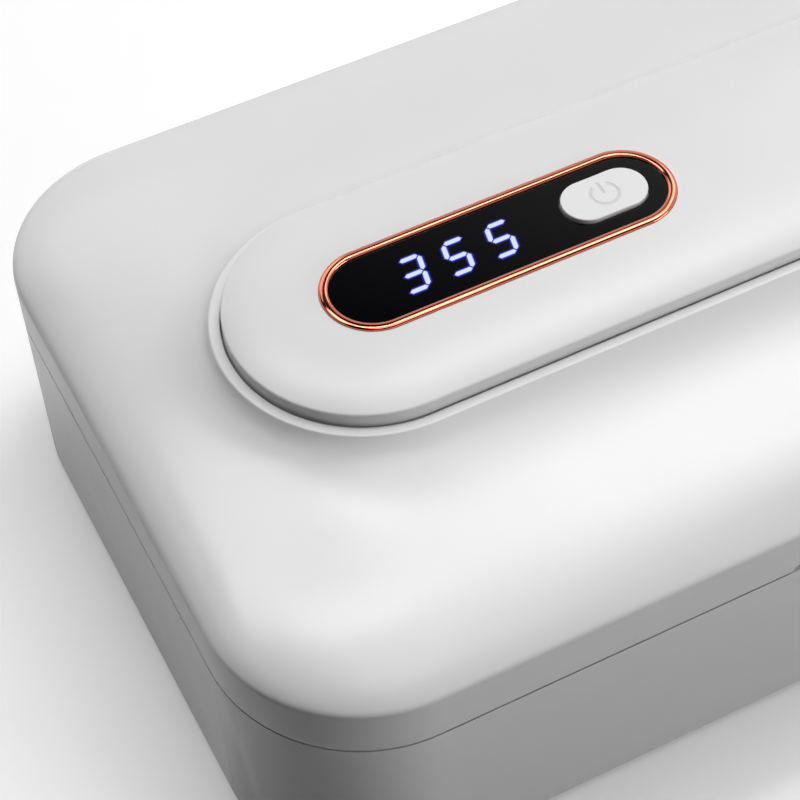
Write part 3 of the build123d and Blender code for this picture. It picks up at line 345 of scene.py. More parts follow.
def carried(centres, along, radius, height, place=(0.0, CASING_Y)):
    """Profile carried round a path: fanned points at the profile's heights.

    The path is about a middle at place, the casing's plan centre unless another is given.
    """
    plan = fanned(centres, along, radius)
    height = np.broadcast_to(height, plan.shape[:2])
    return np.dstack([plan + np.array(place), height])


def rounded_box_path(half_l, half_w, corner_r, marks, turn_steps=44, end_steps=22):
    """Stations round a rounded rectangle, as corner centres and outward directions.

    On a straight side the centre slides along the inner rectangle; in a corner it stays
    and the direction turns through a quarter circle. marks are the stations' places
    along the long sides.
    """
    x, y = half_l - corner_r, half_w - corner_r
    turn = np.linspace(0, math.pi / 2, turn_steps, endpoint=False)[1:]
    ends = np.linspace(y, -y, end_steps)
    along_front = marks[(marks >= -x) & (marks <= x)]
    parts = []
    for side, angle in ((1, 0), (-1, math.pi)):
        run = side * along_front[::-side]
        run = np.sort(run)[::-1] if side > 0 else np.sort(run)
        parts.append((run, np.full(len(run), side * y), np.full(len(run), math.pi / 2 + angle)))
        parts.append((np.full(len(turn), -side * x), np.full(len(turn), side * y),
                      math.pi / 2 + angle + turn))
        parts.append((np.full(end_steps, -side * x), side * ends,
                      np.full(end_steps, math.pi + angle)))
        parts.append((np.full(len(turn), -side * x), np.full(len(turn), -side * y),
                      math.pi + angle + turn))
    cx, cy, angle = (np.concatenate(column) for column in zip(*parts))
    return np.column_stack([cx, cy]), np.column_stack([np.cos(angle), np.sin(angle)])


def capsule_path(run, x, straight_steps, turn_steps):
    """Stations round a capsule about x, as points of its middle line and outward directions."""
    line = np.linspace(run, -run, straight_steps)
    turn = np.linspace(0, math.pi, turn_steps + 1)[1:-1]
    cx = np.concatenate([line, np.full(len(turn), -run), -line, np.full(len(turn), run)])
    angle = np.concatenate([np.full(len(line), math.pi / 2), math.pi / 2 + turn,
                            np.full(len(line), -math.pi / 2), -math.pi / 2 + turn])
    return (np.column_stack([cx + x, np.zeros(len(cx))]),
            np.column_stack([np.cos(angle), np.sin(angle)]))


def bezier(controls, t):
    """Cubic Bezier of every station at once: Bernstein weights of t times the controls."""
    p0, p1, p2, p3 = (np.atleast_1d(c)[:, None] for c in controls)
    s = 1 - t
    return s**3 * p0 + 3 * s**2 * t * p1 + 3 * s * t**2 * p2 + t**3 * p3


def quarter(centre_r, centre_z, r, start, stop, steps=6):
    """Arc of a profile about a centre, from one angle to another in degrees."""
    angle = np.radians(np.linspace(start, stop, steps))
    return centre_r + r * np.cos(angle), centre_z + r * np.sin(angle)


def columns(stations, *spans):
    """Profile of all stations side by side, from spans of (radius, height)."""
    def spread(values):
        """Repeats a row or a single value for every station."""
        values = np.atleast_1d(values)
        if values.ndim == 1:
            values = values[None, :]
        return np.broadcast_to(values, (stations, values.shape[-1]))
    return (np.hstack([spread(r + 0 * np.asarray(z)) for r, z in spans]),
            np.hstack([spread(z + 0 * np.asarray(r)) for r, z in spans]))


def capped(tube):
    """Tube of points[i, j] closed by a fan to its middle at each end."""
    middles = tube.mean(axis=0, keepdims=True)
    first = np.broadcast_to(middles[:, :1], tube[:, :1].shape)
    last = np.broadcast_to(middles[:, -1:], tube[:, -1:].shape)
    mesh = grid_mesh("tube", np.concatenate([first, tube, last], axis=1))
    tidy(mesh)
    return mesh


def cut(mesh, cutter_mesh):
    """Subtracts one mesh from another for good."""
    body = bpy.data.objects.new("cut_body", mesh)
    cutter = bpy.data.objects.new("cutter", cutter_mesh)
    for thing in (body, cutter):
        bpy.context.scene.collection.objects.link(thing)
    step = body.modifiers.new("cut", "BOOLEAN")
    step.operation = "DIFFERENCE"
    step.solver = "EXACT"
    step.object = cutter
    graph = bpy.context.evaluated_depsgraph_get()
    result = bpy.data.meshes.new_from_object(body.evaluated_get(graph))
    name = mesh.name
    bpy.data.objects.remove(body)
    bpy.data.objects.remove(cutter)
    bpy.data.meshes.remove(mesh)
    bpy.data.meshes.remove(cutter_mesh)
    result.name = name
    return result


# Hinge barrels about the pins' axis

def barrel_spans(middle_ones):
    """X ranges of the lid's middle barrels, or of the base's side barrels."""
    half_mid = KNUCKLE_MID_L / 2
    if middle_ones:
        return [(s * HINGE_X - half_mid, s * HINGE_X + half_mid) for s in (-1, 1)]
    inner = half_mid + KNUCKLE_GAP
    outer = inner + KNUCKLE_SIDE_L
    return [(s * HINGE_X + low, s * HINGE_X + high)
            for s in (-1, 1) for low, high in ((-outer, -inner), (inner, outer))]


def barrel_outline(up):
    """Radius about the hinge axis at even angles: the larger of barrel and gusset.

    The gusset is a convex polygon with the axis on its lower side, so its radius is the
    least, over its sides, of the side's distance divided by the cosine to its normal.
    """
    angle = np.linspace(0, TAU, BARREL_STEPS, endpoint=False)
    direction = np.column_stack([np.cos(angle), np.sin(angle) * up])
    root = CASING_Y + CASING_HALF_W - WEB_ROOT - HINGE_Y
    slope_run = KNUCKLE_R - (CASING_Y + CASING_HALF_W + WEB_LAND - HINGE_Y)
    slope = np.array([WEB_H - WEB_LAND, slope_run])
    slope = slope / np.linalg.norm(slope)
    sides = [((1, 0), KNUCKLE_R), ((-1, 0), -root), ((0, 1), WEB_H), ((0, -1), 0.0),
             (slope, slope @ np.array([KNUCKLE_R, WEB_LAND]))]
    radius = np.full(BARREL_STEPS, np.inf)
    for normal, distance in sides:
        facing = direction @ np.asarray(normal, float)
        hit = np.where(facing > TINY, distance / np.maximum(facing, TINY), np.inf)
        radius = np.minimum(radius, hit)
    return angle, np.maximum(radius, KNUCKLE_R)


def barrels(name, middle_ones, up):
    """Bored barrels with their gussets: the outline run along X, with broken edges."""
    angle, outline = barrel_outline(up)
    e = KNUCKLE_EDGE
    meshes = []
    for low_x, high_x in barrel_spans(middle_ones):
        x = np.array([low_x, low_x, low_x + e, high_x - e, high_x, high_x])
        bore = np.full(len(angle), BORE_R)
        rings = [bore, outline - e, outline, outline, outline - e, bore]
        radius = np.stack(rings, axis=1)
        y = HINGE_Y + radius * np.cos(angle)[:, None]
        z = HINGE_Z + radius * np.sin(angle)[:, None]
        points = np.dstack(np.broadcast_arrays(x, y, z))
        meshes.append(grid_mesh(name, points, close_across=True))
    mesh = joined(name, meshes)
    tidy(mesh)
    return mesh


# Lid

def crown(reach, endness, shape, drop):
    """Controls of the crown's curve and of its rounded edge, each as (radius, height).

    The crown is a cubic Bezier from the collar's foot over a concave flare and a convex
    shoulder to the crease. Its flare and its tilt at the crease go from their side values
    to their end values with endness, the squared share of the section's X direction. A
    second Bezier rounds the crease into the wall.
    """
    run = shape.flare_run_side + (shape.flare_run_end - shape.flare_run_side) * endness
    tilt = shape.tilt_side + (shape.tilt_end - shape.tilt_side) * endness
    turn = math.pi / 2 - tilt
    tangent = shape.crease_r * np.tan(turn / 2)
    grip = shape.crease_r * np.tan(turn / 4) * 4 / 3
    start_r = POD_HALF_W + shape.collar_gap + shape.collar_rim - CROWN_UNDERLAP
    start_z = COLLAR_Z - shape.flare_start - drop
    crease_z = shape.crease_z - drop
    shoulder_z = start_z - shape.shoulder_drop
    shoulder_r = reach - (shoulder_z - crease_z) / np.tan(tilt)
    edge_r = reach - tangent * np.cos(tilt)
    edge_z = crease_z + tangent * np.sin(tilt)
    wall_z = crease_z - tangent
    flat = np.zeros_like(reach)
    top = ((flat + start_r, start_r + run, shoulder_r, edge_r),
           (flat + start_z, flat + start_z - shape.flare_drop, flat + shoulder_z, edge_z))
    edge = ((edge_r, edge_r + grip * np.cos(tilt), reach, reach),
            (edge_z, edge_z - grip * np.sin(tilt), wall_z + grip, wall_z))
    return top, edge


def lid_marks(shape):
    """Stations along the long sides: even steps, the pod's ends and the notch's curves."""
    x = CASING_HALF_L - shape.corner_r
    ease = np.sin(np.linspace(0, math.pi / 2, NOTCH_STEPS))
    notch = shape.notch_half - shape.notch_r * (1 - ease)
    extra = np.concatenate([notch, [POD_END_X, shape.notch_half + NOTCH_END]])
    return np.unique(np.concatenate([np.linspace(-x, x, SIDE_MARKS), extra, -extra]).round(8))


def collar_foot(top, outer, shape):
    """Angles round the collar's outer edge, the hollow at its foot and the crown from there.

    The edge rolls over until it is steeper than the crown's start by the collar's turn. Its
    tangent there and the crown's first tangent meet in a knee. The hollow is the parabola
    whose control point is the knee, and the crown's curve starts where the hollow ends: as
    far beyond the knee as the roll ends before it.
    """
    g = shape.collar_out_r
    start_slope = shape.flare_drop / (top[0][1] - top[0][0])
    roll = np.arctan(start_slope) + shape.collar_turn
    roll_r, roll_z = outer - g + g * np.sin(roll), COLLAR_Z - g + g * np.cos(roll)
    above = roll_z - top[1][0] + start_slope * (roll_r - top[0][0])
    knee_r = roll_r + above / (np.tan(roll) - start_slope)
    knee_z = roll_z - (knee_r - roll_r) * np.tan(roll)
    foot_t = ((2 * knee_r - roll_r - top[0][0]) / (3 * (top[0][1] - top[0][0])))[:, None]
    t = foot_t + (1 - foot_t) * np.linspace(0, 1, CROWN_STEPS)
    crown_r, crown_z = bezier(top[0], t), bezier(top[1], t)
    w = np.linspace(0, 1, HOLLOW_STEPS)[1:-1]
    hollow = [(1 - w) ** 2, 2 * w * (1 - w), w**2]
    foot_r = sum(h * c[:, None] for h, c in zip(hollow, (roll_r, knee_r, crown_r[:, 0])))
    foot_z = sum(h * c[:, None] for h, c in zip(hollow, (roll_z, knee_z, crown_z[:, 0])))
    over = roll[:, None] * np.linspace(0, 1, ROLL_STEPS)
    return over, (foot_r, foot_z), (crown_r, crown_z)


def seam_rise(wall, shape):
    """Rise of the seam at the finger notch, which ends in quarter circles.

    Only stations on the front's straight side have it.
    """
    inside = np.clip((shape.notch_half - np.abs(wall[:, 0])) / shape.notch_r, 0, 1)
    front = (wall[:, 1] < 0) & (np.abs(wall[:, 0]) < CASING_HALF_L - shape.corner_r)
    return np.where(front, shape.notch_rise * np.sqrt(1 - (1 - inside) ** 2), 0.0)


def lid_profile(centres, wall, shape):
    """Centres, directions, radii and heights of the lid's closed section at every station.

    The section starts on the pod's floor, climbs the gap to the collar, rolls over the
    collar's edge, runs down a hollow onto the crown, rounds the crease, goes down the wall
    to the seam and comes back under the roof, which is the crown's curve set lower.
    """
    middle_x = np.clip(wall[:, 0], -POD_END_X, POD_END_X)
    outward = np.column_stack([wall[:, 0] - middle_x, wall[:, 1]])
    reach = np.linalg.norm(outward, axis=1)
    outward = outward / reach[:, None]
    top, edge = crown(reach, outward[:, 0] ** 2, shape, 0.0)
    roof, _ = crown(reach, outward[:, 0] ** 2, shape, shape.roof)
    inner = POD_HALF_W + shape.collar_gap
    outer = inner + shape.collar_rim
    f, g = shape.collar_in_r, shape.collar_out_r
    over, hollow, crown_line = collar_foot(top, outer, shape)
    e = np.linspace(0, 1, EDGE_STEPS)[1:]
    edge_r, edge_z = bezier(edge[0], e), bezier(edge[1], e)
    low = (LID_LOW + seam_rise(wall, shape))[:, None]
    s = shape.seam_r
    bend = np.radians(np.linspace(0, 90, SEAM_STEPS))
    fall = np.linspace(0, 1, SIDE_STEPS)[1:]
    side_z = edge_z[:, -1:] + (low + s - edge_z[:, -1:]) * fall
    back = np.linspace(1, 0, ROOF_STEPS)
    roof_r = np.clip(bezier(roof[0], back), outer + CAP_LAP, reach[:, None] - shape.wall)
    roof_z = bezier(roof[1], back)
    under = POD_FLOOR_Z - shape.pod_floor

    radius, height = columns(
        len(centres),
        (np.linspace(0, inner, POD_FLOOR_STEPS), POD_FLOOR_Z),
        (np.array([inner, inner]), np.array([POD_FLOOR_Z, COLLAR_Z - f])),
        quarter(inner + f, COLLAR_Z - f, f, 180, 90),
        (outer - g + g * np.sin(over), COLLAR_Z - g + g * np.cos(over)),
        hollow,
        crown_line,
        (edge_r, edge_z),
        (reach[:, None], side_z),
        (reach[:, None] - s * (1 - np.cos(bend)), low + s * (1 - np.sin(bend))),
        (reach[:, None] - shape.notch_depth, low),
        (reach[:, None] - shape.notch_depth, np.array([LID_LOW])),
        (reach[:, None] - shape.wall, np.array([LID_LOW])),
        (roof_r, roof_z),
        (np.array([outer + CAP_LAP, 0.0]), under),
    )
    return np.column_stack([middle_x, np.zeros(len(wall))]), outward, radius, height


def relief_cutters(shape):
    """Cutting meshes: the charging socket's hole and the room round the base's barrels."""
    cutters = []
    r = SOCKET_HALF_H
    span_x = SOCKET_HALF_W + SOCKET_CLEAR - r
    angle = np.linspace(0, TAU, RING_STEPS, endpoint=False)
    hole_x = SOCKET_X + np.sign(np.cos(angle)) * span_x + r * np.cos(angle)
    hole_z = SOCKET_Z + np.sin(angle) * (r + SOCKET_CLEAR)
    wall_y = CASING_Y + CASING_HALF_W
    depth = np.array([-2.0, 2.0]) * shape.wall
    tube = np.dstack(np.broadcast_arrays(hole_x[:, None], wall_y + depth, hole_z[:, None]))
    cutters.append(capped(tube))
    for low_x, high_x in barrel_spans(False):
        ring_y = HINGE_Y + (KNUCKLE_R + RELIEF) * np.cos(angle)[:, None]
        ring_z = HINGE_Z + (KNUCKLE_R + RELIEF) * np.sin(angle)[:, None]
        ends = np.array([low_x - RELIEF, high_x + RELIEF])
        tube = np.dstack(np.broadcast_arrays(ends, ring_y, ring_z))
        cutters.append(capped(tube))
    return joined("lid_cutter", cutters)


class STERILIZER_OT_lid(Operator):
    """Builds the lid's crowned skin and its hinge barrels"""
    bl_idname = "sterilizer.lid"
    bl_label = "Lid"

    def execute(self, context):
        shape = context.scene.sterilizer_lid
        marks = lid_marks(shape)
        centres, out = rounded_box_path(CASING_HALF_L, CASING_HALF_W, shape.corner_r, marks)
        wall = centres + out * shape.corner_r
        middles, outward, radius, height = lid_profile(centres, wall, shape)
        points = carried(middles, outward, radius, height)
        mesh = grid_mesh("lid_skin", points)
        tidy(mesh)
        mesh = cut(mesh, relief_cutters(shape))
        piece(mesh, "lid", finish("white_casing"), ("lid_shell",))
        mesh = barrels("lid_knuckles", True, 1)
        piece(mesh, "lid", finish("white_casing"))
        return {"FINISHED"}


# Pod

def pod_height(points, pod):
    """Height of the pod's top, which falls with the fourth power of the distance from its
    middle line."""
    x = np.abs(points[..., 0])
    away = np.hypot(np.maximum(x - POD_END_X, 0), points[..., 1])
    return POD_TOP - pod.crown * (away / POD_HALF_W) ** 4


class STERILIZER_OT_pod(Operator):
    """Builds the raised pod with the opening for its display"""
    bl_idname = "sterilizer.pod"
    bl_label = "Control pod"

    def execute(self, context):
        pod = context.scene.sterilizer_pod
        steps = POD_SIDE_STEPS, POD_END_STEPS
        inner_c, inner_n = capsule_path(BEZEL_RUN, WINDOW_X, *steps)
        outer_c, outer_n = capsule_path(POD_END_X, 0.0, *steps)
        opening = BEZEL_HALF_W + pod.opening_gap
        slope = math.atan(4 * pod.crown / POD_HALF_W)
        turn = math.pi / 2 - slope
        reach = POD_HALF_W - pod.edge_r * (1 - math.sin(slope))
        t = np.sin(np.linspace(0, math.pi / 2, POD_TOP_STEPS)) ** POD_TOP_EASE
        start = fanned(inner_c, inner_n, [opening])
        stop = fanned(outer_c, outer_n, [reach])
        plan = start + (stop - start) * t[None, :, None]
        top = np.dstack([plan, pod_height(plan, pod)])
        arc = slope + turn * np.linspace(0, 1, POD_EDGE_STEPS)[1:]
        edge_r = reach + pod.edge_r * (np.sin(arc) - math.sin(slope))
        edge_z = top[:, -1, 2].mean() + pod.edge_r * (np.cos(arc) - math.cos(slope))
        wall_in = POD_HALF_W - pod.side_wall
        roof = edge_z[-1] - pod.skin
        radius, height = columns(
            len(outer_c), (edge_r, edge_z),
            (np.array([POD_HALF_W, POD_HALF_W, wall_in, wall_in]),
             np.array([POD_FLOOR_Z + POD_WALL_RING, POD_FLOOR_Z, POD_FLOOR_Z, roof])),
        )
        side = carried(outer_c, outer_n, radius, height)
        seat = opening - pod.opening_gap - pod.land - (BEZEL_HALF_W - WINDOW_HALF_W)
        inner_r = np.array([seat, seat, opening])
        inner_z = np.array([roof, WINDOW_LOW, WINDOW_LOW])
        pocket = carried(inner_c, inner_n, inner_r, inner_z)
        top[..., 1] += CASING_Y
        points = np.concatenate([pocket, top, side], axis=1)
        mesh = grid_mesh("pod_skin", points, close_across=True)
        tidy(mesh)
        piece(mesh, "lid", finish("white_pod"), ("pod_cover",))
        return {"FINISHED"}


class STERILIZER_OT_bezel(Operator):
    """Builds the plated trim ring round the window: two quarter ellipses that meet in a crest"""
    bl_idname = "sterilizer.bezel"
    bl_label = "Bezel"

    def execute(self, context):
        pod = context.scene.sterilizer_pod
        path_c, path_n = capsule_path(BEZEL_RUN, WINDOW_X, BEZEL_SIDE_STEPS, BEZEL_END_STEPS)
        inner = WINDOW_HALF_W + pod.opening_gap
        width = BEZEL_HALF_W - inner
        foot = POD_TOP + pod.bezel_foot
        lip = WINDOW_TOP + BEZEL_LIP
        middle_r = inner + BEZEL_CREST * width
        a = np.radians(np.linspace(0, 90, BEZEL_OUTER_STEPS))
        b = np.radians(np.linspace(90, 0, BEZEL_INNER_STEPS))
        outer_r = middle_r + (BEZEL_HALF_W - middle_r) * np.cos(a)
        outer_z = foot + (BEZEL_TOP - foot) * np.sin(a)
        inner_r = middle_r - (middle_r - inner) * np.cos(b)
        inner_z = lip + (BEZEL_TOP - lip) * np.sin(b)
        radius = np.concatenate([[BEZEL_HALF_W], outer_r, inner_r[1:], [inner]])
        height = np.concatenate([[WINDOW_LOW], outer_z, inner_z[1:], [WINDOW_LOW]])
        points = carried(path_c, path_n, radius, height)
        mesh = grid_mesh("bezel_bead", points, close_across=True)
        tidy(mesh)
        piece(mesh, "lid", finish("rose_gold"), ("bezel_ring",), sharp=50.0)
        return {"FINISHED"}


# Power button

def groove(x, y, key):
    """Share of the symbol's depth at points about the key's middle, from 0 to 1; the same share
    sets the painted shade in the groove.

    The distance is the lesser of those to the open ring's middle line and to the upright
    line, and a smooth step over the flank's width turns it into depth.
    """
    angle = np.abs(np.arctan2(x, y))
    tip = key.symbol_gap / 2
    ring = np.abs(np.hypot(x, y) - key.symbol_r)
    to_tip = np.hypot(np.abs(x) - key.symbol_r * math.sin(tip), y - key.symbol_r * math.cos(tip))
    ring = np.where(angle < tip, to_tip, ring)
    bar = np.hypot(x, y - np.clip(y, key.bar_low, key.bar_high))
    inside = key.symbol_stroke / 2 - np.minimum(ring, bar)
    s = np.clip(inside / key.symbol_soft + 0.5, 0, 1)
    return s * s * (3 - 2 * s)


class STERILIZER_OT_key(Operator):
    """Builds the power button's cap with its shallow moulded symbol"""
    bl_idname = "sterilizer.key"
    bl_label = "Power button"

    def execute(self, context):
        key = context.scene.sterilizer_key
        half_w = FLANGE_HALF_W - key.flange
        run = FLANGE_HALF_L - FLANGE_HALF_W
        path_c, path_n = capsule_path(run, 0.0, KEY_SIDE_STEPS, KEY_END_STEPS)
        flat_r = half_w - key.edge_r
        plan = fanned(path_c, path_n, flat_r * np.linspace(0, 1, KEY_TOP_STEPS))
        # share of the groove's depth, which also sets the painted shade in the groove
        mark = groove(plan[..., 0], plan[..., 1], key)
        top_z = BUTTON_TOP - key.symbol_depth * mark
        edge_r, edge_z = quarter(flat_r, BUTTON_TOP - key.edge_r, key.edge_r, 90, 0,
                                 KEY_EDGE_STEPS)
        flange_top = BUTTON_LOW + key.flange_t
        side_r = np.array([half_w, FLANGE_HALF_W, FLANGE_HALF_W, 0.0])
        side_z = np.array([flange_top, flange_top, BUTTON_LOW, BUTTON_LOW])
        radius = np.concatenate([edge_r[1:], side_r])
        height = np.concatenate([edge_z[1:], side_z])
        place = (BUTTON_X, BUTTON_Y)
        side = carried(path_c, path_n, radius, height, place)
        points = np.concatenate([np.dstack([plan + np.array(place), top_z]), side], axis=1)
        mark = np.hstack([mark, np.zeros(side.shape[:2])])
        mesh = grid_mesh("key_cap", points, attributes={"mark": mark})
        tidy(mesh)
        piece(mesh, "button", finish("white_key"), ("power_button",))
        return {"FINISHED"}


# Digits

DIGITS_SHOWN = "355"
BARS_ON = {"3": "abcdg", "5": "acdfg"}
BAR_PROUD = 0.03 * MM
BAR_DEEP = 1.5 * MM
GLOW_STEP = 0.0015 * MM
GLOW_DEEP = 0.05 * MM
GLOW_LEVELS = 5
GLOW_RINGS = 7

# Rings of a bar from its underside to its middle: size, share of the depth and of the core
BAR_GROW = np.array([0.0, 1.0, 1.0, 0.8, 0.6, 0.4, 0.0])
BAR_DROP = np.array([1.0, 1.0, 0.0, 0.0, 0.0, 0.0, 0.0])
BAR_CORE = np.array([0.0, 0.0, 0.0, 0.75, 1.0, 1.0, 1.0])


def bar_places(digits):
    """Centre, half length and direction of every lit bar, upright and centred on its digit."""
    half_w = (digits.width - digits.stroke) / 2
    half_h = (digits.height - digits.stroke) / 2
    flat = {"a": (0, half_h), "g": (0, 0), "d": (0, -half_h)}
    upright = {"b": (half_w, half_h / 2), "c": (half_w, -half_h / 2),
               "e": (-half_w, -half_h / 2), "f": (-half_w, half_h / 2)}
    for i, digit in enumerate(DIGITS_SHOWN):
        digit_x = DIGITS_X + (i - (len(DIGITS_SHOWN) - 1) / 2) * digits.pitch
        for bar in BARS_ON[digit]:
            if bar in flat:
                yield digit_x, flat[bar], half_w - digits.bar_gap, (1.0, 0.0)
            else:
                yield digit_x, upright[bar], half_h / 2 - digits.bar_gap, (0.0, 1.0)


def bar_rings(place, digits, grow, height):
    """Six-cornered rings about a bar's spine, scaled by grow, at the heights given.

    The spine ends one half stroke short of the bar's tips, so every ring is the bar's
    outline drawn in or out evenly. The digit's slant shears X by the height on the digit.
    """
    digit_x, (x, y), reach, (ux, uy) = place
    t = digits.stroke / 2
    ends = np.array([1, 1, -1, -1, -1, 1])
    spine = (reach - t) * ends
    tip = np.array([1, 0, 0, -1, 0, 0]) * t
    side = np.array([0, 1, 1, 0, -1, -1]) * t
    along = spine[:, None] + tip[:, None] * grow
    across = side[:, None] * grow
    px = x + ux * along - uy * across
    py = y + uy * along + ux * across
    px = px + math.tan(digits.slant) * py
    return np.dstack([px + digit_x, py + DIGITS_Y, np.broadcast_to(height, px.shape)])


class STERILIZER_OT_digits(Operator):
    """Builds the lit bars of the digits and the glow round them"""
    bl_idname = "sterilizer.digits"
    bl_label = "Digits"

    def execute(self, context):
        digits = context.scene.sterilizer_digits
        bars, glows = [], []
        bar_z = WINDOW_TOP + BAR_PROUD - BAR_DEEP * BAR_DROP
        far = 1 + digits.halo / (digits.stroke / 2)
        halo_grow = np.concatenate([[1.0], np.linspace(1.0, far, GLOW_RINGS), [far]])
        halo_drop = np.concatenate([[GLOW_DEEP], np.zeros(GLOW_RINGS), [GLOW_DEEP]])
        halo = np.concatenate([[1.0], np.linspace(1.0, 0.0, GLOW_RINGS), [0.0]])
        for i, place in enumerate(bar_places(digits)):
            points = bar_rings(place, digits, BAR_GROW, bar_z)
            bars.append(grid_mesh("bar", points, attributes={"core": BAR_CORE}))
            level = WINDOW_TOP + GLOW_STEP * (1 + i % GLOW_LEVELS)
            points = bar_rings(place, digits, halo_grow, level - halo_drop)
            glows.append(grid_mesh("glow", points, close_across=True, attributes={"core": halo}))
        mesh = joined("digit_bars", bars)
        tidy(mesh)
        piece(mesh, "lid", finish("lit_bars"), ("lit_segments",))
        mesh = joined("digit_glow", glows)
        tidy(mesh)
        piece(mesh, "lid", finish("window_glow"))
        return {"FINISHED"}


# Finishes

WHITE = (1.0, 1.0, 1.0, 1.0)
BLACK = (0.0, 0.0, 0.0, 1.0)
COARSER = 40
SHADE = 0.03
GLOSS_DRIFT = 0.03
SMOOTHEST = 0.02
RIPPLE_DEPTH = 0.01 * MM
BRUSH_DRIFT = 0.08
BRUSH_MM = 0.4
BRUSH_STRETCH = 0.02
BRUSH_DEPTH = 0.02 * MM
KEY_GRAIN = 0.35 * MM
KEY_GRAIN_DEPTH = 0.004 * MM
ACRYLIC_HAZE = 9 * MM
QUARTZ_HAZE = 7 * MM
GLOW_FADE = 2.6
GLOW_STRENGTH = 0.8
TRACK_W = 0.25 * MM
TRACK_CELL = (5.0 * MM, 1.6 * MM)


def add(tree, kind, settings=None, links=None):
    """Adds a node, gives its settings and joins its inputs to (node, output) pairs."""
    node = tree.nodes.new(kind)
    for key, value in (settings or {}).items():
        socket = find(node.inputs, key)
        if socket is None:
            setattr(node, key, value)
        else:
            socket.default_value = value
    for key, (source, output) in (links or {}).items():
        tree.links.new(find(source.outputs, output), find(node.inputs, key))
    return node


def find(sockets, key):
    """Socket with the identifier or the name given, or None."""
    for socket in sockets:
        if key in (socket.identifier, socket.name):
            return socket
    return None


def blank(name):
    """New material with an empty tree, and that tree."""
    material = bpy.data.materials.new(name)
    material.use_nodes = True
    material.node_tree.nodes.clear()
    return material, material.node_tree


def finished(material, tree, shader):
    """Joins the shader to the output."""
    add(tree, "ShaderNodeOutputMaterial", {}, {"Surface": (shader, "BSDF")})
    return material


def colour4(colour):
    """RGBA from RGB."""
    return (*tuple(colour)[:3], 1.0)


def chosen(colour):
    """RGBA of a hex colour, or of the finish property that has the name given."""
    if colour.startswith("#"):
        return colour4(linear(colour))
    return colour4(getattr(bpy.context.scene.sterilizer_finish, colour))


def grained(name, colour, roughness, grain_mm, depth_mm, ior):
    """Surface with a fine grain in its height and a slow drift in its colour and gloss.

    Noise of the grain's size feeds the bump, and a noise COARSER times as large moves the
    colour by the share SHADE and the roughness by GLOSS_DRIFT. A mould's real grain is too
    fine to show, so it is drawn at a few tenths of a millimetre.
    """
    material, tree = blank(name)
    full = chosen(colour)
    dark = colour4([c * (1 - SHADE) for c in full])
    place = add(tree, "ShaderNodeTexCoord")
    fine = add(tree, "ShaderNodeTexNoise",
               {"Scale": 1 / (grain_mm * MM), "Detail": 3.0, "Roughness": 0.6},
               {"Vector": (place, "Object")})
    slow = add(tree, "ShaderNodeTexNoise",
               {"Scale": 1 / (COARSER * grain_mm * MM), "Detail": 2.0},
               {"Vector": (place, "Object")})
    paint = add(tree, "ShaderNodeMix", {"data_type": "RGBA", "A_Color": dark, "B_Color": full},
                {"Factor_Float": (slow, "Fac")})
    gloss = add(tree, "ShaderNodeMapRange",
                {"To Min": roughness - GLOSS_DRIFT, "To Max": roughness + GLOSS_DRIFT},
                {"Value": (slow, "Fac")})
    bump = add(tree, "ShaderNodeBump", {"Strength": 1.0, "Distance": depth_mm * MM},
               {"Height": (fine, "Fac")})
    shader = add(tree, "ShaderNodeBsdfPrincipled", {"IOR": ior},
                 {"Base Color": (paint, "Result_Color"), "Roughness": (gloss, "Result"),
                  "Normal": (bump, "Normal")})
    return finished(material, tree, shader)


def plated(name, colour, roughness, drift, ripple_mm, lacquer=None):
    """Plated metal: mirror-like, with a slow drift in its roughness from the base's ripple."""
    material, tree = blank(name)
    place = add(tree, "ShaderNodeTexCoord")
    slow = add(tree, "ShaderNodeTexNoise", {"Scale": 1 / (ripple_mm * MM), "Detail": 2.0},
               {"Vector": (place, "Object")})
    gloss = add(tree, "ShaderNodeMapRange",
                {"To Min": max(SMOOTHEST, roughness - drift), "To Max": roughness + drift},
                {"Value": (slow, "Fac")})
    bump = add(tree, "ShaderNodeBump", {"Strength": 0.3, "Distance": RIPPLE_DEPTH},
               {"Height": (slow, "Fac")})
    shader = add(tree, "ShaderNodeBsdfPrincipled",
                 {"Base Color": chosen(colour), "Metallic": 1.0, **(lacquer or {})},
                 {"Roughness": (gloss, "Result"), "Normal": (bump, "Normal")})
    return finished(material, tree, shader)


def brushed(name, colour, roughness):
    """Rolled or ground metal: long scratches along X in its height and gloss.

    Real ones are a few hundredths of a millimetre apart and are drawn BRUSH_MM apart to show.
    """
    material, tree = blank(name)
    place = add(tree, "ShaderNodeTexCoord")
    stretch = add(tree, "ShaderNodeMapping", {"Scale": (BRUSH_STRETCH, 1.0, 1.0)},
                  {"Vector": (place, "Object")})
    lines = add(tree, "ShaderNodeTexNoise", {"Scale": 1 / (BRUSH_MM * MM), "Detail": 4.0},
                {"Vector": (stretch, "Vector")})
    gloss = add(tree, "ShaderNodeMapRange",
                {"To Min": roughness - BRUSH_DRIFT, "To Max": roughness + BRUSH_DRIFT},
                {"Value": (lines, "Fac")})
    bump = add(tree, "ShaderNodeBump", {"Strength": 0.4, "Distance": BRUSH_DEPTH},
               {"Height": (lines, "Fac")})
    shader = add(tree, "ShaderNodeBsdfPrincipled",
                 {"Base Color": chosen(colour), "Metallic": 1.0},
                 {"Roughness": (gloss, "Result"), "Normal": (bump, "Normal")})
    return finished(material, tree, shader)


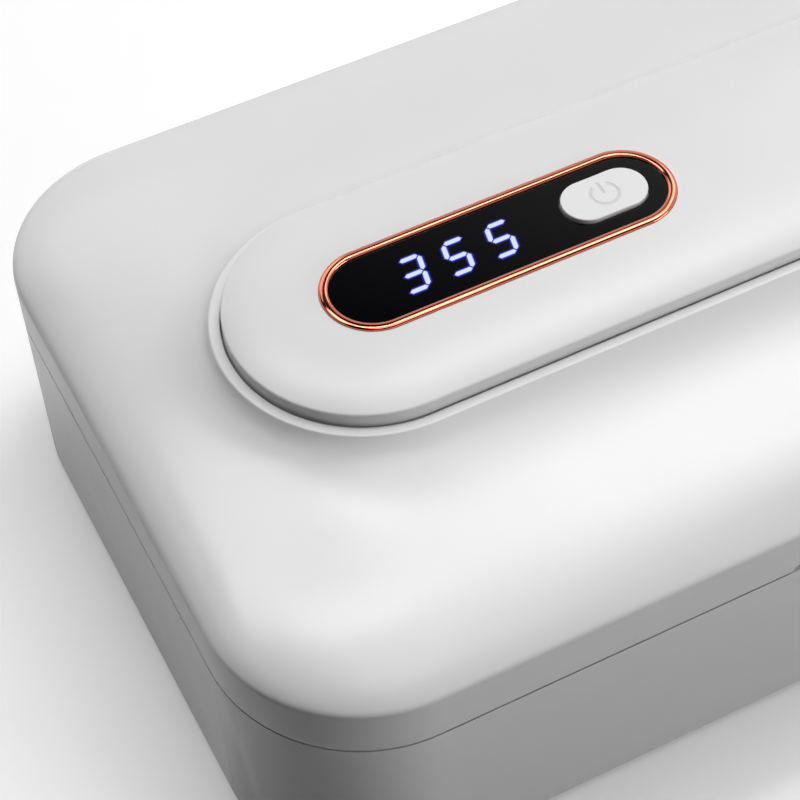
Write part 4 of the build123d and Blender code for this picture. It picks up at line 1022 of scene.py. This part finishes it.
def abs_with_painted_groove_shade(name):
    """Moulded ABS whose shallow symbol groove, given by a point attribute, is painted light grey
    as painted shade for the groove.
    """
    material, tree = blank(name)
    place = add(tree, "ShaderNodeTexCoord")
    fine = add(tree, "ShaderNodeTexNoise", {"Scale": 1 / KEY_GRAIN, "Detail": 2.0},
               {"Vector": (place, "Object")})
    bump = add(tree, "ShaderNodeBump", {"Strength": 1.0, "Distance": KEY_GRAIN_DEPTH},
               {"Height": (fine, "Fac")})
    mark = add(tree, "ShaderNodeAttribute", {"attribute_name": "mark"})
    # painted shade: the groove's share mixes the key's white towards the grey
    paint = add(tree, "ShaderNodeMix",
                {"data_type": "RGBA", "A_Color": chosen("key"), "B_Color": chosen("symbol")},
                {"Factor_Float": (mark, "Fac")})
    shader = add(tree, "ShaderNodeBsdfPrincipled", {"Roughness": 0.38, "IOR": 1.53},
                 {"Base Color": (paint, "Result_Color"), "Normal": (bump, "Normal")})
    return finished(material, tree, shader)


def lit_resin(name):
    """Diffusing resin over light-emitting chips: the attribute core goes from rim to core."""
    digits = bpy.context.scene.sterilizer_digits
    material, tree = blank(name)
    core = add(tree, "ShaderNodeAttribute", {"attribute_name": "core"})
    light = add(tree, "ShaderNodeMix",
                {"data_type": "RGBA", "A_Color": colour4(digits.rim),
                 "B_Color": colour4(digits.core)}, {"Factor_Float": (core, "Fac")})
    shader = add(tree, "ShaderNodeBsdfPrincipled",
                 {"Base Color": BLACK, "Roughness": 0.3, "Emission Strength": 1.0},
                 {"Emission Color": (light, "Result_Color")})
    return finished(material, tree, shader)


def printed_acrylic(name, lit=False):
    """Back-printed acrylic: deep black under a polished surface, with faint polishing haze.

    Where it is lit from behind, the attribute core lights it, to a power that fades fast.
    """
    material, tree = blank(name)
    place = add(tree, "ShaderNodeTexCoord")
    haze = add(tree, "ShaderNodeTexNoise", {"Scale": 1 / ACRYLIC_HAZE, "Detail": 3.0},
               {"Vector": (place, "Object")})
    gloss = add(tree, "ShaderNodeMapRange", {"To Min": 0.03, "To Max": 0.07},
                {"Value": (haze, "Fac")})
    links = {"Roughness": (gloss, "Result")}
    settings = {"Base Color": chosen("window"), "IOR": 1.49}
    if lit:
        digits = bpy.context.scene.sterilizer_digits
        core = add(tree, "ShaderNodeAttribute", {"attribute_name": "core"})
        fade = add(tree, "ShaderNodeMath", {"operation": "POWER", "Value_001": GLOW_FADE},
                   {"Value": (core, "Fac")})
        light = add(tree, "ShaderNodeMix",
                    {"data_type": "RGBA", "A_Color": BLACK, "B_Color": colour4(digits.rim)},
                    {"Factor_Float": (fade, "Value")})
        links["Emission Color"] = (light, "Result_Color")
        settings["Emission Strength"] = GLOW_STRENGTH
    shader = add(tree, "ShaderNodeBsdfPrincipled", settings, links)
    return finished(material, tree, shader)


def glowing_acrylic(name):
    """The window's acrylic round a lit bar."""
    return printed_acrylic(name, lit=True)


def polished_quartz(name):
    """Fused quartz: clear, polished, with a trace of surface haze."""
    material, tree = blank(name)
    place = add(tree, "ShaderNodeTexCoord")
    haze = add(tree, "ShaderNodeTexNoise", {"Scale": 1 / QUARTZ_HAZE},
               {"Vector": (place, "Object")})
    gloss = add(tree, "ShaderNodeMapRange", {"To Min": 0.01, "To Max": 0.06},
                {"Value": (haze, "Fac")})
    shader = add(tree, "ShaderNodeBsdfPrincipled",
                 {"Base Color": chosen("#F4F8FF"), "IOR": 1.46, "Transmission Weight": 1.0},
                 {"Roughness": (gloss, "Result")})
    return finished(material, tree, shader)


def masked_laminate(name):
    """Circuit board: solder mask over copper tracks, as squared cells in a lighter tone."""
    material, tree = blank(name)
    place = add(tree, "ShaderNodeTexCoord")
    mask = chosen("#0E4A2A")
    tracks = add(tree, "ShaderNodeTexBrick",
                 {"Scale": 1.0, "Mortar Size": TRACK_W, "Brick Width": TRACK_CELL[0],
                  "Row Height": TRACK_CELL[1], "Color1": mask, "Color2": mask,
                  "Mortar": chosen("#1C6A3E")}, {"Vector": (place, "Object")})
    shader = add(tree, "ShaderNodeBsdfPrincipled", {"Roughness": 0.35, "IOR": 1.5},
                 {"Base Color": (tracks, "Color")})
    return finished(material, tree, shader)


# By the record's slot: what the surface is, colour, roughness, grain and its depth in mm, IOR
GRAINED = {
    # moulded in a polished tool: a clear but soft-edged gloss
    "white_casing": ("polished_moulded_abs", "casing", 0.24, 0.3, 0.002, 1.53),
    # moulded in a tool with a fine satin: wider highlights
    "white_pod": ("satin_moulded_abs", "pod", 0.34, 0.25, 0.002, 1.53),
    # potted resin with a grey face: dull
    "display_block": ("potted_resin", "#1B1C1E", 0.55, 0.5, 0.01, 1.5),
    # moulded rubber: dull, with a sooty grain
    "rubber_grey": ("moulded_rubber", "#6E7072", 0.75, 0.5, 0.02, 1.52),
    # moulded silicone: milky and soft
    "silicone": ("moulded_silicone", "#D9DAD8", 0.5, 0.4, 0.006, 1.41),
    # cut foam tape: open grain, no gloss
    "foam": ("cut_foam_tape", "#2C2D30", 0.9, 0.6, 0.1, 1.5),
    # white solder mask printed over aluminium: smooth, half matt
    "lamp_board_white": ("masked_aluminium", "#E6E7E4", 0.4, 0.4, 0.004, 1.5),
    # fired ceramic with a yellowish lens: smooth, glossy
    "lamp_chip": ("fired_ceramic", "#D8CFA2", 0.3, 0.3, 0.004, 1.55),
    # moulded nylon plug housing: waxy
    "connector_ivory": ("moulded_nylon", "#DED9C6", 0.5, 0.3, 0.008, 1.5),
    # transfer-moulded epoxy: matt black
    "chip_black": ("moulded_epoxy", "#17181A", 0.6, 0.2, 0.01, 1.55),
    # moulded acetal plunger: waxy grey
    "plunger_grey": ("moulded_acetal", "#8B8D90", 0.45, 0.3, 0.004, 1.5),
    # sintered ferrite: dark, dry, finely pitted
    "ferrite": ("sintered_ferrite", "#34363A", 0.65, 0.3, 0.03, 1.5),
    # drawn glass tube: smooth, greenish
    "contact_glass": ("drawn_glass", "#9FB6A6", 0.08, 0.8, 0.001, 1.52),
    # film shrunk over a pouch cell: bluish silver, slightly wavy
    "cell_wrap": ("shrunk_film", "#8FA3B8", 0.35, 1.0, 0.02, 1.5),
    # extruded PVC insulation: smooth, softly glossy
    "lead_pvc": ("extruded_red_pvc", "#B5302A", 0.42, 0.5, 0.006, 1.53),
    # extruded PVC sheath: a little duller
    "cable_grey": ("extruded_grey_pvc", "#7B7E82", 0.5, 0.5, 0.008, 1.53),
}

# By slot: what the surface is, colour, roughness, its drift, ripple in mm, lacquer's settings
PLATED = {
    # vacuum-plated ABS: a slightly rippled mirror
    "mirror_plated": ("vacuum_plated_abs", "#E4E6E8", 0.09, 0.04, 6.0),
    # plating under clear lacquer: a coloured mirror with white glints
    "rose_gold": ("lacquered_rose_gold", "bezel", 0.10, 0.03, 3.0,
                  {"Coat Weight": 1.0, "Coat Roughness": 0.04}),
    # barrel-plated zinc on steel: dull silver
    "plated_steel": ("zinc_plated_steel", "#B9BBBC", 0.28, 0.06, 1.5),
    # nickel plating on a pressed magnet: bright, warm
    "nickel": ("nickel_plated_magnet", "#C5C2BA", 0.18, 0.05, 2.0),
    # tinned sheet steel, stamped: bright, cold
    "tin_plate": ("tinned_steel", "#C6C8CA", 0.22, 0.05, 2.0),
}

# By slot: what the surface is, colour, roughness
BRUSHED = {
    # rolled reflector sheet: a mirror with faint rolling lines
    "polished_sheet": ("rolled_aluminium", "#E9EAEC", 0.16),
    # ground and oiled pin: fine lines, darker
    "ground_steel": ("ground_pin_steel", "#9C9EA0", 0.26),
}

# By slot: what the surface is
SINGLE = {
    # moulded in a satin tool, with the symbol's groove painted grey as painted shade: even, soft
    # highlights
    "white_key": (abs_with_painted_groove_shade, "printed_moulded_abs"),
    # polished and printed black from behind: a dark mirror
    "dark_window": (printed_acrylic, "back_printed_acrylic"),
    # unlit resin behind smoked print: as dark as the window
    "dark_bars": (printed_acrylic, "smoked_acrylic"),
    # the window where light from the bars leaks under it
    "window_glow": (glowing_acrylic, "glowing_acrylic"),
    # cast diffusing resin over light-emitting chips: pale core, saturated rim
    "lit_bars": (lit_resin, "lit_resin"),
    # polished fused quartz: clear, with sharp highlights
    "clear_plate": (polished_quartz, "polished_quartz"),
    # etched and masked laminate: green with lighter tracks
    "green_board": (masked_laminate, "masked_laminate"),
}


def finish(slot):
    """The material of a slot, made the first time that it is asked for."""
    for maker, table in ((grained, GRAINED), (plated, PLATED), (brushed, BRUSHED)):
        if slot in table:
            name, *values = table[slot]
            return bpy.data.materials.get(name) or maker(name, *values)
    maker, name = SINGLE[slot]
    return bpy.data.materials.get(name) or maker(name)


# Kept nodes

CAD_WELD = 1e-6
CAD_SHARP = 30


class STERILIZER_OT_kept(Operator):
    """Gives every CAD node its finish and smooth shading between its sharp edges"""
    bl_idname = "sterilizer.kept"
    bl_label = "Kept nodes"

    def execute(self, context):
        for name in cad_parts:
            thing = bpy.data.objects[name]
            for holder in thing.material_slots:
                holder.material = finish(holder.material.name.split(".")[0])
            mesh = thing.data
            mesh.polygons.foreach_set("use_smooth", np.ones(len(mesh.polygons), bool))
            weld = thing.modifiers.new("weld", "WELD")
            weld.merge_threshold = CAD_WELD
            split = thing.modifiers.new("edges", "EDGE_SPLIT")
            split.split_angle = math.radians(CAD_SHARP)
        return {"FINISHED"}


# Studio

# The point that the camera is aimed at, and its sensor's width in mm
AIM = Vector((-0.0639, -0.0217, 0.060))
SENSOR_WIDTH = 36.0
CLIP_START = 0.01

# The floor's grey as it is seen, its added glow, and its grey as it lights the box
FLOOR_HALF = 3.0
PAPER_STEPS = 9
FLOOR_SEEN = 0.95
FLOOR_GLOW = 0.22
FLOOR_BOUNCE = 0.12

# A lamp counts as overhead from this rise on
OVERHEAD = 0.8

# The white backdrop ends overhead between these rises, and reaches higher on the right
BACKDROP_LEAN = (-0.25, 0.0, 1.0)
BACKDROP_TOP = (0.45, 0.72)

# Each soft lamp's name, direction from the box, distance, width, height, turn in degrees and
# power; the two key strips draw the long highlights along the front of the crown
LAMPS = (
    ("key", (0.163, 0.216, 0.962), 0.95, 0.60, 0.06, -9.4, 1.34),
    ("key_left", (0.035, 0.232, 0.972), 0.95, 0.22, 0.05, -9.4, 0.34),
    ("top", (0.05, -0.05, 1.00), 0.95, 0.40, 0.40, 0.0, 1.22),
    ("top_right", (0.40, 0.20, 0.90), 0.95, 0.40, 0.40, 0.0, 1.80),
    ("top_left", (-0.20, 0.40, 0.89), 0.95, 0.30, 0.30, 0.0, 1.60),
    ("left", (-0.50, 0.35, 0.80), 0.95, 0.40, 0.40, 0.0, 0.42),
    ("back", (-0.05, 0.75, 0.66), 0.95, 0.40, 0.30, 0.0, 0.60),
    ("back_right", (0.55, 0.45, 0.70), 0.95, 0.25, 0.25, 0.0, 0.60),
    ("front_low", (0.75, -0.75, 0.20), 1.10, 0.60, 0.30, 0.0, 5.75),
)


def looking(way):
    """Axes with +Z along way: an overhead lamp's X lies along the box, any other's level."""
    guide = Vector((0.0, 1.0, 0.0)) if way.z > OVERHEAD else Vector((0.0, 0.0, 1.0))
    across = guide.cross(way).normalized()
    return Matrix((across, way.cross(across), way)).transposed().to_4x4()


class STERILIZER_OT_stage(Operator):
    """Builds the floor, the lamps, the world and the camera"""
    bl_idname = "sterilizer.stage"
    bl_label = "Studio"

    def execute(self, context):
        studio = context.scene.sterilizer_studio
        self.floor()
        self.lamps(studio)
        self.world(context, studio)
        self.camera(context, studio)
        context.scene.view_settings.view_transform = "Standard"
        return {"FINISHED"}

    def floor(self):
        """White paper floor: it glows a little to what sees it, and lights the box less."""
        line = np.linspace(-FLOOR_HALF, FLOOR_HALF, PAPER_STEPS)
        x, y = np.meshgrid(line, line, indexing="ij")
        points = np.dstack([x, y, np.zeros_like(x)])
        mesh = grid_mesh("floor", points, close_along=False)
        material, tree = blank("floor_paper")
        seen = self.seen_rays(tree)
        paint = add(tree, "ShaderNodeMix",
                    {"data_type": "RGBA", "A_Color": colour4([FLOOR_BOUNCE] * 3),
                     "B_Color": colour4([FLOOR_SEEN] * 3)}, {"Factor_Float": (seen, "Value")})
        base = add(tree, "ShaderNodeBsdfDiffuse", {}, {"Color": (paint, "Result_Color")})
        level = add(tree, "ShaderNodeMath", {"operation": "MULTIPLY", "Value_001": FLOOR_GLOW},
                    {"Value": (seen, "Value")})
        lift = add(tree, "ShaderNodeEmission", {"Color": WHITE}, {"Strength": (level, "Value")})
        both = add(tree, "ShaderNodeAddShader", {},
                   {"Shader": (base, "BSDF"), "Shader_001": (lift, "Emission")})
        add(tree, "ShaderNodeOutputMaterial", {}, {"Surface": (both, "Shader")})
        mesh.materials.append(material)
        thing = bpy.data.objects.new("floor", mesh)
        bpy.context.scene.collection.objects.link(thing)

    def seen_rays(self, tree):
        """Factor that is 1 for camera, glossy and transmission rays."""
        path = add(tree, "ShaderNodeLightPath")
        seen = add(tree, "ShaderNodeMath", {"operation": "MAXIMUM"},
                   {"Value": (path, "Is Camera Ray"), "Value_001": (path, "Is Glossy Ray")})
        return add(tree, "ShaderNodeMath", {"operation": "MAXIMUM"},
                   {"Value": (seen, "Value"), "Value_001": (path, "Is Transmission Ray")})

    def lamps(self, studio):
        """Soft rectangular lamps that all face the origin."""
        for name, direction, distance, width, height, turn, power in LAMPS:
            lamp = bpy.data.lights.new(name, "AREA")
            lamp.shape = "RECTANGLE"
            lamp.size = width
            lamp.size_y = height
            lamp.energy = power * studio.lamp_level
            thing = bpy.data.objects.new(name, lamp)
            way = Vector(direction).normalized()
            roll = Matrix.Rotation(math.radians(turn), 4, "Z")
            thing.matrix_world = Matrix.Translation(way * distance) @ looking(way) @ roll
            bpy.context.scene.collection.objects.link(thing)

    def world(self, context, studio):
        """Backdrop seen by camera, glossy and transmission rays: white low down, dark above."""
        world = bpy.data.worlds.new("studio_world")
        context.scene.world = world
        world.use_nodes = True
        tree = world.node_tree
        tree.nodes.clear()
        way = add(tree, "ShaderNodeTexCoord")
        rise = add(tree, "ShaderNodeVectorMath",
                   {"operation": "DOT_PRODUCT", "Vector_001": BACKDROP_LEAN},
                   {"Vector": (way, "Generated")})
        backdrop = add(tree, "ShaderNodeMapRange",
                       {"interpolation_type": "SMOOTHSTEP", "From Min": BACKDROP_TOP[0],
                        "From Max": BACKDROP_TOP[1], "To Min": 1.0, "To Max": 0.0},
                       {"Value": (rise, "Value")})
        seen = self.seen_rays(tree)
        level = add(tree, "ShaderNodeMix",
                    {"data_type": "FLOAT", "A_Float": studio.ambient},
                    {"Factor_Float": (seen, "Value"), "B_Float": (backdrop, "Result")})
        light = add(tree, "ShaderNodeBackground", {"Color": WHITE},
                    {"Strength": (level, "Result_Float")})
        add(tree, "ShaderNodeOutputWorld", {}, {"Surface": (light, "Background")})

    def camera(self, context, studio):
        """Camera on a sphere about the aim point, turned about its line of sight."""
        data = bpy.data.cameras.new("photo_camera")
        data.lens = studio.lens
        data.sensor_width = SENSOR_WIDTH
        data.clip_start = CLIP_START
        thing = bpy.data.objects.new("photo_camera", data)
        a, e = studio.camera_azimuth, studio.camera_elevation
        back = Vector((math.sin(a) * math.cos(e), -math.cos(a) * math.cos(e), math.sin(e)))
        right = Vector((math.cos(a), math.sin(a), 0.0))
        up = back.cross(right)
        turn = Matrix.Rotation(studio.camera_roll, 4, back)
        axes = Matrix((right, up, back)).transposed().to_4x4()
        place = AIM + back * studio.camera_distance
        thing.matrix_world = Matrix.Translation(place) @ turn @ axes
        context.scene.collection.objects.link(thing)
        context.scene.camera = thing


class STERILIZER_PT_panel(Panel):
    """Lists the pieces of the box and the studio"""
    bl_idname = "STERILIZER_PT_panel"
    bl_label = "Sterilizer box"
    bl_space_type = "VIEW_3D"
    bl_region_type = "UI"
    bl_category = "Sterilizer"

    def draw(self, context):
        for step in STEPS:
            self.layout.operator("sterilizer." + step)
        for group in GROUPS:
            box = self.layout.box()
            settings = getattr(context.scene, group)
            for prop in settings.bl_rna.properties:
                if prop.identifier not in ("rna_type", "name"):
                    box.prop(settings, prop.identifier)


STEPS = ("lid", "pod", "bezel", "key", "digits", "kept", "stage")
GROUPS = {
    "sterilizer_lid": SterilizerLid,
    "sterilizer_pod": SterilizerPod,
    "sterilizer_key": SterilizerKey,
    "sterilizer_digits": SterilizerDigits,
    "sterilizer_finish": SterilizerFinish,
    "sterilizer_studio": SterilizerStudio,
}
CLASSES = (
    *GROUPS.values(), STERILIZER_OT_lid, STERILIZER_OT_pod, STERILIZER_OT_bezel,
    STERILIZER_OT_key, STERILIZER_OT_digits, STERILIZER_OT_kept, STERILIZER_OT_stage,
    STERILIZER_PT_panel,
)


def register():
    """Registers the classes and gives the scene its settings."""
    for kind in CLASSES:
        bpy.utils.register_class(kind)
    for name, kind in GROUPS.items():
        setattr(bpy.types.Scene, name, PointerProperty(type=kind))


def unregister():
    """Takes both away again."""
    for name in GROUPS:
        delattr(bpy.types.Scene, name)
    for kind in reversed(CLASSES):
        bpy.utils.unregister_class(kind)


def main():
    """Builds everything in order."""
    register()
    for step in STEPS:
        getattr(bpy.ops.sterilizer, step)()


if __name__ == "__main__":
    main()
